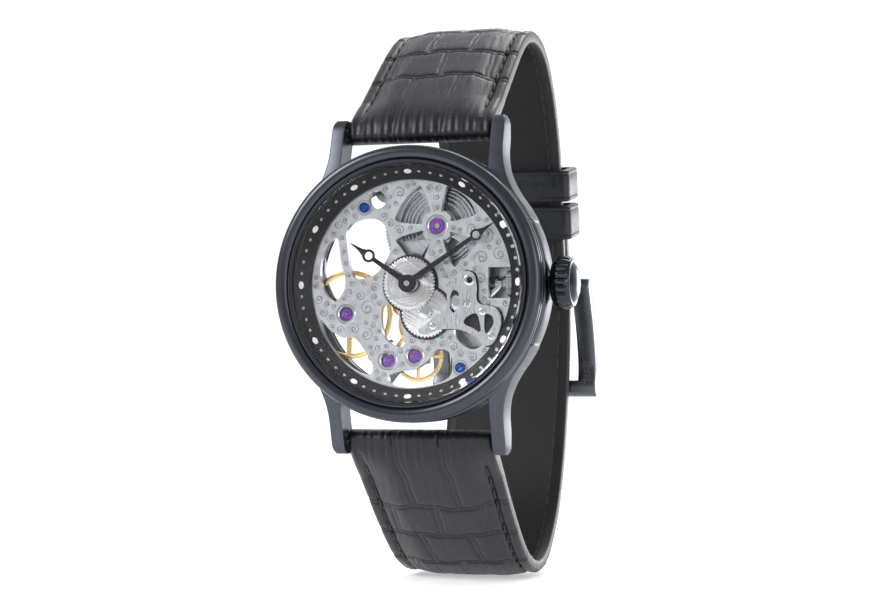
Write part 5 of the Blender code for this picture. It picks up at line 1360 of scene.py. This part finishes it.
# The outer faces of the two halves, as (y, z): from the lug to the buckle, and from the lug to the tip.
UPPER_OUTER = [(-3.5, 20.9), (-3.35, 22.6), (-1.9, 25.4), (3.4, 29.9), (9.1, 34.2), (15.0, 38.4),
               (20.5, 41.2), (27.0, 42.0), (33.5, 40.2), (39.0, 35.8), (43.0, 30.2), (45.6, 24.5),
               (46.84, 18.0), (48.18, 11.0), (49.4, 4.6), (50.1, 0.9)]
LOWER_OUTER = [(-3.5, -20.9), (-3.35, -22.6), (-1.9, -25.4), (3.4, -30.6), (9.1, -35.4), (15.0, -39.8),
               (20.5, -42.8), (27.0, -44.2), (33.5, -42.9), (39.0, -39.3), (43.6, -34.4), (47.2, -28.0),
               (49.8, -20.5), (51.6, -13.0), (52.6, -6.0), (52.9, 0.0), (51.88, 6.0), (50.74, 12.0),
               (49.35, 19.3)]
STRAP_STEP = 0.21
STRAP_COLUMNS = 110
EDGE_STEPS = 3
LINING_COLUMNS = 12


def strap_thickness(along):
    return STRAP_THIN_THICKNESS + (STRAP_PADDED_THICKNESS - STRAP_THIN_THICKNESS) * max(0.0, 1 - along / 45.0)


def strap_half_width(along):
    taper = max(0.0, min(1.0, (along - 10.0) / 55.0))
    return STRAP_HALF_WIDTH + (STRAP_END_HALF_WIDTH - STRAP_HALF_WIDTH) * taper


class StrapHalf:
    """One half of the strap: a centre line with its thickness and width at each step."""

    def __init__(self, outer_points, inward, round_tip):
        curve = smooth_path(outer_points, 16)
        lengths = [0.0]
        for before, after in zip(curve, curve[1:]):
            lengths.append(lengths[-1] + (after - before).length)
        self.total = lengths[-1]
        self.along = np.linspace(0, self.total, int(self.total / STRAP_STEP))
        self.y = np.interp(self.along, lengths, [p.x for p in curve])
        self.z = np.interp(self.along, lengths, [p.y for p in curve])
        tangent_y = np.gradient(self.y, self.along)
        tangent_z = np.gradient(self.z, self.along)
        length = np.hypot(tangent_y, tangent_z)
        self.normal = np.stack((-tangent_z / length, tangent_y / length), 1) * inward
        self.thickness = np.array([strap_thickness(s) for s in self.along])
        self.half = np.array([strap_half_width(s) for s in self.along])
        if round_tip:
            left = np.clip((self.total - self.along) / 6.0, 0, 1)
            self.half = self.half * (0.35 + 0.65 * np.sqrt(1 - (1 - left) ** 2))

    def place(self, row, x, depth):
        return (x, self.y[row] + self.normal[row, 0] * depth, self.z[row] + self.normal[row, 1] * depth)

    def at(self, along, x, depth):
        row = int(np.clip(round(along / self.total * (len(self.along) - 1)), 0, len(self.along) - 1))
        return Vector(self.place(row, x, depth))

    def half_at(self, along):
        return float(np.interp(along, self.along, self.half))

    def thickness_at(self, along):
        return float(np.interp(along, self.along, self.thickness))


def bulge(along, half, x, thickness):
    """How far the outer face lies below the strap's full thickness: it is padded in the middle."""
    edge = half - np.abs(x)
    away = np.clip((along - 3.0) / 7.0, 0, 1)
    padding = np.clip(thickness - 1.8, 0.35, 1.4)
    share = np.clip((edge - 0.8) / 5.0, 0, 1)
    fall = padding * 0.85 * (1 - share * share * (3 - 2 * share)) * (0.12 + 0.88 * away)
    groove = 0.34 * np.exp(-((edge - STITCH_INSET) / 0.36) ** 2) * away
    rim = 0.30 * np.exp(-(np.clip(edge, 0, None) / 0.22) ** 2)
    return fall + groove + rim


def scale_rows(total):
    """Rows of embossed scales from the lug on: where each row ends, and its lengthwise creases."""
    along = 15.5
    rows = [(along, (-3.6, 3.4))]
    while along < total + 8:
        along += random.uniform(6.6, 8.4)
        columns = (-7.0, 0.2, 7.2) if len(rows) % 2 else (-3.6, 3.5)
        rows.append((along, tuple(column + random.uniform(-0.5, 0.5) for column in columns)))
    return rows


def emboss(along, x, rows):
    """Depth of the double creases between scales, the fold at the lug and the fine long wrinkles."""
    bent_along = along + 0.32 * np.sin(0.55 * x + 0.2 * along) + 0.10 * np.sin(1.7 * x + 1.0)
    bent_x = x + 0.30 * np.sin(0.35 * along + 0.5) + 0.10 * np.sin(1.2 * along)
    border = np.full(along.shape, 9.0)
    start = -20.0
    for end, columns in rows:
        across = np.min([np.abs(bent_x - column) for column in columns], axis=0)
        lengthwise = np.minimum(bent_along - start, end - bent_along)
        inside = (bent_along >= start) & (bent_along < end)
        border = np.where(inside, np.minimum(across, lengthwise), border)
        start = end
    crease = 0.15 * np.exp(-((border - 0.36) / 0.15) ** 2)
    pillow = 0.07 * np.exp(-(border / 0.8) ** 2)
    ripple = (np.sin(4.6 * x + 1.1 * np.sin(0.5 * along) + 0.2 * along)
              + 0.7 * np.sin(7.1 * x - 0.8 * np.sin(0.8 * along) + 2.0)) / 1.7
    fold = 0.085 * (1 + ripple) * np.exp(-((along - 1.6) / 3.4) ** 2)
    wrinkle = 0.016 * (1 + ripple) * (1 + np.sin(0.6 * along + 1.3 * np.sin(0.7 * x)))
    return crease + pillow + fold + wrinkle


def strap_mesh(name, half, scales):
    """The face with its padding and scales, the painted edges and the lining, as one closed mesh."""
    rows = len(half.along)
    share = np.linspace(-1, 1, STRAP_COLUMNS)
    x = half.half[:, None] * share[None, :]
    along = np.repeat(half.along[:, None], STRAP_COLUMNS, 1)
    thickness = half.thickness[:, None]
    depth = bulge(along, half.half[:, None], x, thickness) + emboss(along, x, scales)
    from_edge = half.half[:, None] - np.abs(x) - STITCH_INSET
    depth += 0.13 * np.exp(-(from_edge / 0.3) ** 2) * (along > 4.0)
    thin_edge = np.minimum(half.along, half.total - half.along)
    roll = half.thickness / 2
    inset = roll - np.sqrt(np.clip(roll ** 2 - np.clip(roll - thin_edge, 0, None) ** 2, 0, None))
    inset = np.minimum(inset, roll * 0.96)
    depth = np.minimum(depth + inset[:, None], thickness * 0.52)
    points = []
    for row in range(rows):
        width = half.half[row]
        top, bottom = depth[row, -1], half.thickness[row] - inset[row]
        section = list(zip(x[row], depth[row]))
        edge = []
        for step in range(EDGE_STEPS):
            fraction = (step + 0.6) / (EDGE_STEPS + 0.2)
            edge.append((width - 0.02 + 0.05 * math.sin(math.pi * fraction), top + (bottom - top) * fraction))
        section += edge
        section += [(width * 0.985 * (1 - 2 * step / (LINING_COLUMNS - 1)), bottom)
                    for step in range(LINING_COLUMNS)]
        section += [(-spot, level) for spot, level in reversed(edge)]
        points += [half.place(row, spot, level) for spot, level in section]
    count = len(section)
    # Of each row's faces, the leather ones come first and the lining's lie between the painted edges.
    slots = np.ones(count, int)
    slots[:STRAP_COLUMNS - 1] = 0
    slots[STRAP_COLUMNS + EDGE_STEPS:STRAP_COLUMNS + EDGE_STEPS + LINING_COLUMNS - 1] = 2
    made = add_mesh(name, points, skin(rows, count), LEATHER, sharp=70)
    made.data.materials.append(EDGE_PAINT)
    made.data.materials.append(LINING)
    made.data.polygons.foreach_set("material_index", [1, 1, *np.tile(slots, rows - 1)])
    return made


THREAD_RINGS = ((0.0, 0.25), (0.12, 0.8), (0.3, 1.0), (0.7, 1.0), (0.88, 0.8), (1.0, 0.25))
THREAD_SIDES = 6
STITCH_PITCH = 2.75


def add_capsule(points, faces, start, end, radius):
    """Adds a short thread stitch with pulled-in ends to a growing mesh."""
    axis = end - start
    along = axis.normalized()
    side = along.orthogonal().normalized()
    other = along.cross(side)
    faces += skin(len(THREAD_RINGS), THREAD_SIDES, len(points))
    for share, size in THREAD_RINGS:
        for cos, sin in circle(CENTRE, 1, THREAD_SIDES):
            points.append(start + axis * share + (side * cos + other * sin) * radius * size)


KEEPER_CORNER = 1.2
KEEPER_LINE = 0.75
STRAP_HOLES = (-22.5, -16.0, -9.5, 8.0, 14.5)
ARM_OUTLINE = [(47.7, 2.2), (48.2, 3.3), (49.3, 3.4), (50.4, 2.4), (53.2, -4.0), (54.9, -11.0),
               (55.1, -14.6), (54.3, -16.2), (52.9, -15.6), (52.6, -14.0), (53.1, -11.0), (51.4, -5.0),
               (48.3, 1.0)]
TONGUE_OUTLINE = [(48.75, 3.35), (49.7, 3.0), (50.2, 2.0), (52.2, -0.6), (53.7, -3.0), (55.75, -12.0),
                  (56.1, -15.2), (55.6, -16.6), (55.3, -16.4), (55.4, -12.6), (53.2, -4.2), (51.2, -1.6),
                  (49.2, 1.1), (48.2, 1.15), (47.6, 1.8), (47.7, 2.9)]


def stitches(name, half, first, last, body):
    """Saddle stitching along both edges, seen on the face and on the lining."""
    points = []
    faces = []
    for side in (-1, 1):
        for number in range(int((last - first) / STITCH_PITCH)):
            start = first + number * STITCH_PITCH
            for lining in (False, True):
                ends = []
                for along, slant in ((start, 0.10), (start + STITCH_PITCH * 0.78, -0.10)):
                    x = side * (half.half_at(along) - STITCH_INSET + (0 if lining else slant * side))
                    thick = half.thickness_at(along)
                    face = float(bulge(np.array(along), half.half_at(along), np.array(x), np.array(thick)))
                    ends.append(half.at(along, x, thick - 0.02 if lining else face + 0.02))
                add_capsule(points, faces, *ends, 0.15 if lining else 0.21)
    settle(add_mesh(name, points, faces, THREAD, sharp=60), body, "black_leather")


def rear_point(z, outward):
    """A (y, z) point that far out from the outer face of the upper half, opposite height z."""
    y = REAR_START[0] + (z - REAR_START[1]) * math.tan(REAR_SLOPE)
    return (y + outward * math.cos(REAR_SLOPE), z - outward * math.sin(REAR_SLOPE))


def keeper(name, node, body, z_low, z_high):
    """A leather loop with rounded corners and a pressed line beside each edge."""
    inside = -STRAP_THIN_THICKNESS - KEEPER_INNER_GAP
    outside = STRAP_THIN_THICKNESS + LAYER_GAP + KEEPER_OUTER_GAP
    reach_x = STRAP_END_HALF_WIDTH + KEEPER_SIDE_GAP + KEEPER_WALL - KEEPER_CORNER
    reach_out = (outside - inside) / 2 + KEEPER_WALL - KEEPER_CORNER
    width = z_high - z_low
    line = KEEPER_LINE
    edge = [(0.0, 0.35), (0.12, 0.12), (0.35, 0.0), (line - 0.15, 0.0), (line, 0.12), (line + 0.15, 0.0)]
    profile = edge + [(width / 2, 0.0)] + [(width - along, inset) for along, inset in reversed(edge)]
    profile += [(width, KEEPER_WALL - 0.05), (width - 0.1, KEEPER_WALL), (0.1, KEEPER_WALL),
                (0.0, KEEPER_WALL - 0.05)]
    points = []
    for quarter, (sx, so) in enumerate(((1, 1), (-1, 1), (-1, -1), (1, -1))):
        for step in range(7):
            angle = math.pi / 2 * (quarter + step / 6)
            for along, inset in profile:
                x, outward = on_circle((sx * reach_x, (inside + outside) / 2 + so * reach_out),
                                       KEEPER_CORNER - inset, angle)
                points.append((x, *rear_point(z_low + along * math.cos(REAR_SLOPE), outward)))
    rows = len(points) // len(profile)
    settle(add_mesh(name, points, skin(rows, len(profile), closed=True), LEATHER, sharp=50), body,
           "black_leather", node)


def block(x_range, y_range, z_range):
    points = [(x, y, z) for x in x_range for y in y_range for z in z_range]
    faces = [(0, 1, 3, 2), (4, 5, 7, 6), (0, 1, 5, 4), (2, 3, 7, 6), (0, 2, 6, 4), (1, 3, 7, 5)]
    return add_mesh("block", points, faces, LEATHER)


def slot_cutter(half_width, y_range, z_low, z_high):
    """A cutter along Y with round ends, for the tongue's hole."""
    outline = (sweep_points((0, z_high - half_width), half_width, 0, math.pi, 8)
               + sweep_points((0, z_low + half_width), half_width, math.pi, TURN, 8))
    return add_mesh("slot_cutter", *extrude_loops([outline], -y_range[1], -y_range[0]), EDGE_PAINT)


def make_straps():
    upper = StrapHalf(UPPER_OUTER, -1, False)
    lower = StrapHalf(LOWER_OUTER, 1, True)
    upper_mesh = strap_mesh("upper_leather", upper, scale_rows(upper.total))
    combine(upper_mesh, slot_cutter(1.5, (45.0, 55.0), -2.5, 4.3))
    settle(upper_mesh, "case", "black_leather", "upper_strap")
    lower_mesh = strap_mesh("lower_leather", lower, scale_rows(lower.total))
    cutters = [slot_cutter(0.9, (45.0, 58.0), -5.3, 3.4)]
    cutters += [slot_cutter(0.8, (40.0, 58.0), z - 1.0, z + 1.0) for z in STRAP_HOLES]
    combine(lower_mesh, join("holes", cutters))
    settle(lower_mesh, "case", "black_leather", "lower_strap")
    stitches("upper_stitches", upper, 7.0, upper.total - 6.0, "case")
    stitches("lower_stitches", lower, 7.0, lower.total - 7.0, "case")
    keeper("fixed_loop", "fixed_keeper", "case", 10.4, 15.9)
    keeper("free_loop", "free_keeper", "free_keeper", 16.6, 21.8)


# ---------------------------------------------------------------- buckle and bars
def side_plate(name, outline, x_low, x_high, material):
    """A plate whose outline is (y, z) points, thick along X."""
    points, faces = extrude_loops([outline], x_low, x_high)
    return flattened(add_mesh(name, [(-y, x, z) for x, y, z in points], faces, material))


def make_bars():
    for node, radius, half_length, y, z in (
            ("upper_spring_bar", 0.75, 12.2, -SPRING_BAR_HEIGHT, SPRING_BAR_Z),
            ("lower_spring_bar", 0.75, 12.2, -SPRING_BAR_HEIGHT, -SPRING_BAR_Z),
            ("buckle_bar", BUCKLE_BAR_RADIUS, 12.3, *BUCKLE_BAR)):
        profile = rod_profile([(0.4, -half_length, -11.1), (radius, -10.9, 10.9), (0.4, 11.1, half_length)],
                              0.08)
        settle(turned_on_x(node + "_rod", profile, POLISHED, y, z, 28), "case", "satin_steel", node)


def make_buckle():
    """The curved frame with softened edges, and the tongue that rests on its crossbar."""
    y, z = BUCKLE_BAR
    buckle = side_plate("buckle_arms", smooth_loop(ARM_OUTLINE), -BUCKLE_HALF_WIDTH, BUCKLE_HALF_WIDTH,
                        BUCKLE_STEEL)
    opening = (-BUCKLE_OPENING_HALF_WIDTH, BUCKLE_OPENING_HALF_WIDTH)
    combine(buckle, block(opening, (44.0, 60.0), (-13.9, 6.0)))
    bevel(buckle, 0.38, 3, angle=50)
    combine(buckle, turned_on_x("pivot_hole", rod_profile([(0.5, -12.5, 12.5)]), BUCKLE_STEEL, y, z, 28))
    for side in (-1, 1):
        pin = rod_profile([(0.36, 12.6, BUCKLE_HALF_WIDTH - 0.02)], 0.04)
        cap = turned_on_x("pin", [(r, side * x) for r, x in pin], POLISHED, y, z, 24)
        buckle = join("buckle_arms", [buckle, cap])
    settle(buckle, "buckle", "black_steel", "buckle_frame")
    tongue = side_plate("tongue_pin", smooth_loop(TONGUE_OUTLINE, 4), -0.6, 0.6, BUCKLE_STEEL)
    bevel(tongue, 0.2, 3, angle=50)
    hole = rod_profile([(BUCKLE_BAR_RADIUS + 0.08, -3, 3)])
    combine(tongue, turned_on_x("tongue_hole", hole, BUCKLE_STEEL, y, z, 28))
    settle(tongue, "tongue", "black_steel", "buckle_tongue")


make_camera()
make_studio()
make_case()
make_crystals()
make_case_back()
make_dial()
make_mainplate()
make_bridges()
make_painted_shade()
make_keyless_cover()
make_screws()
make_going_train()
make_escapement()
make_mainspring()
make_motion_works()
make_hands()
make_winding_work()
make_straps()
make_bars()
make_buckle()
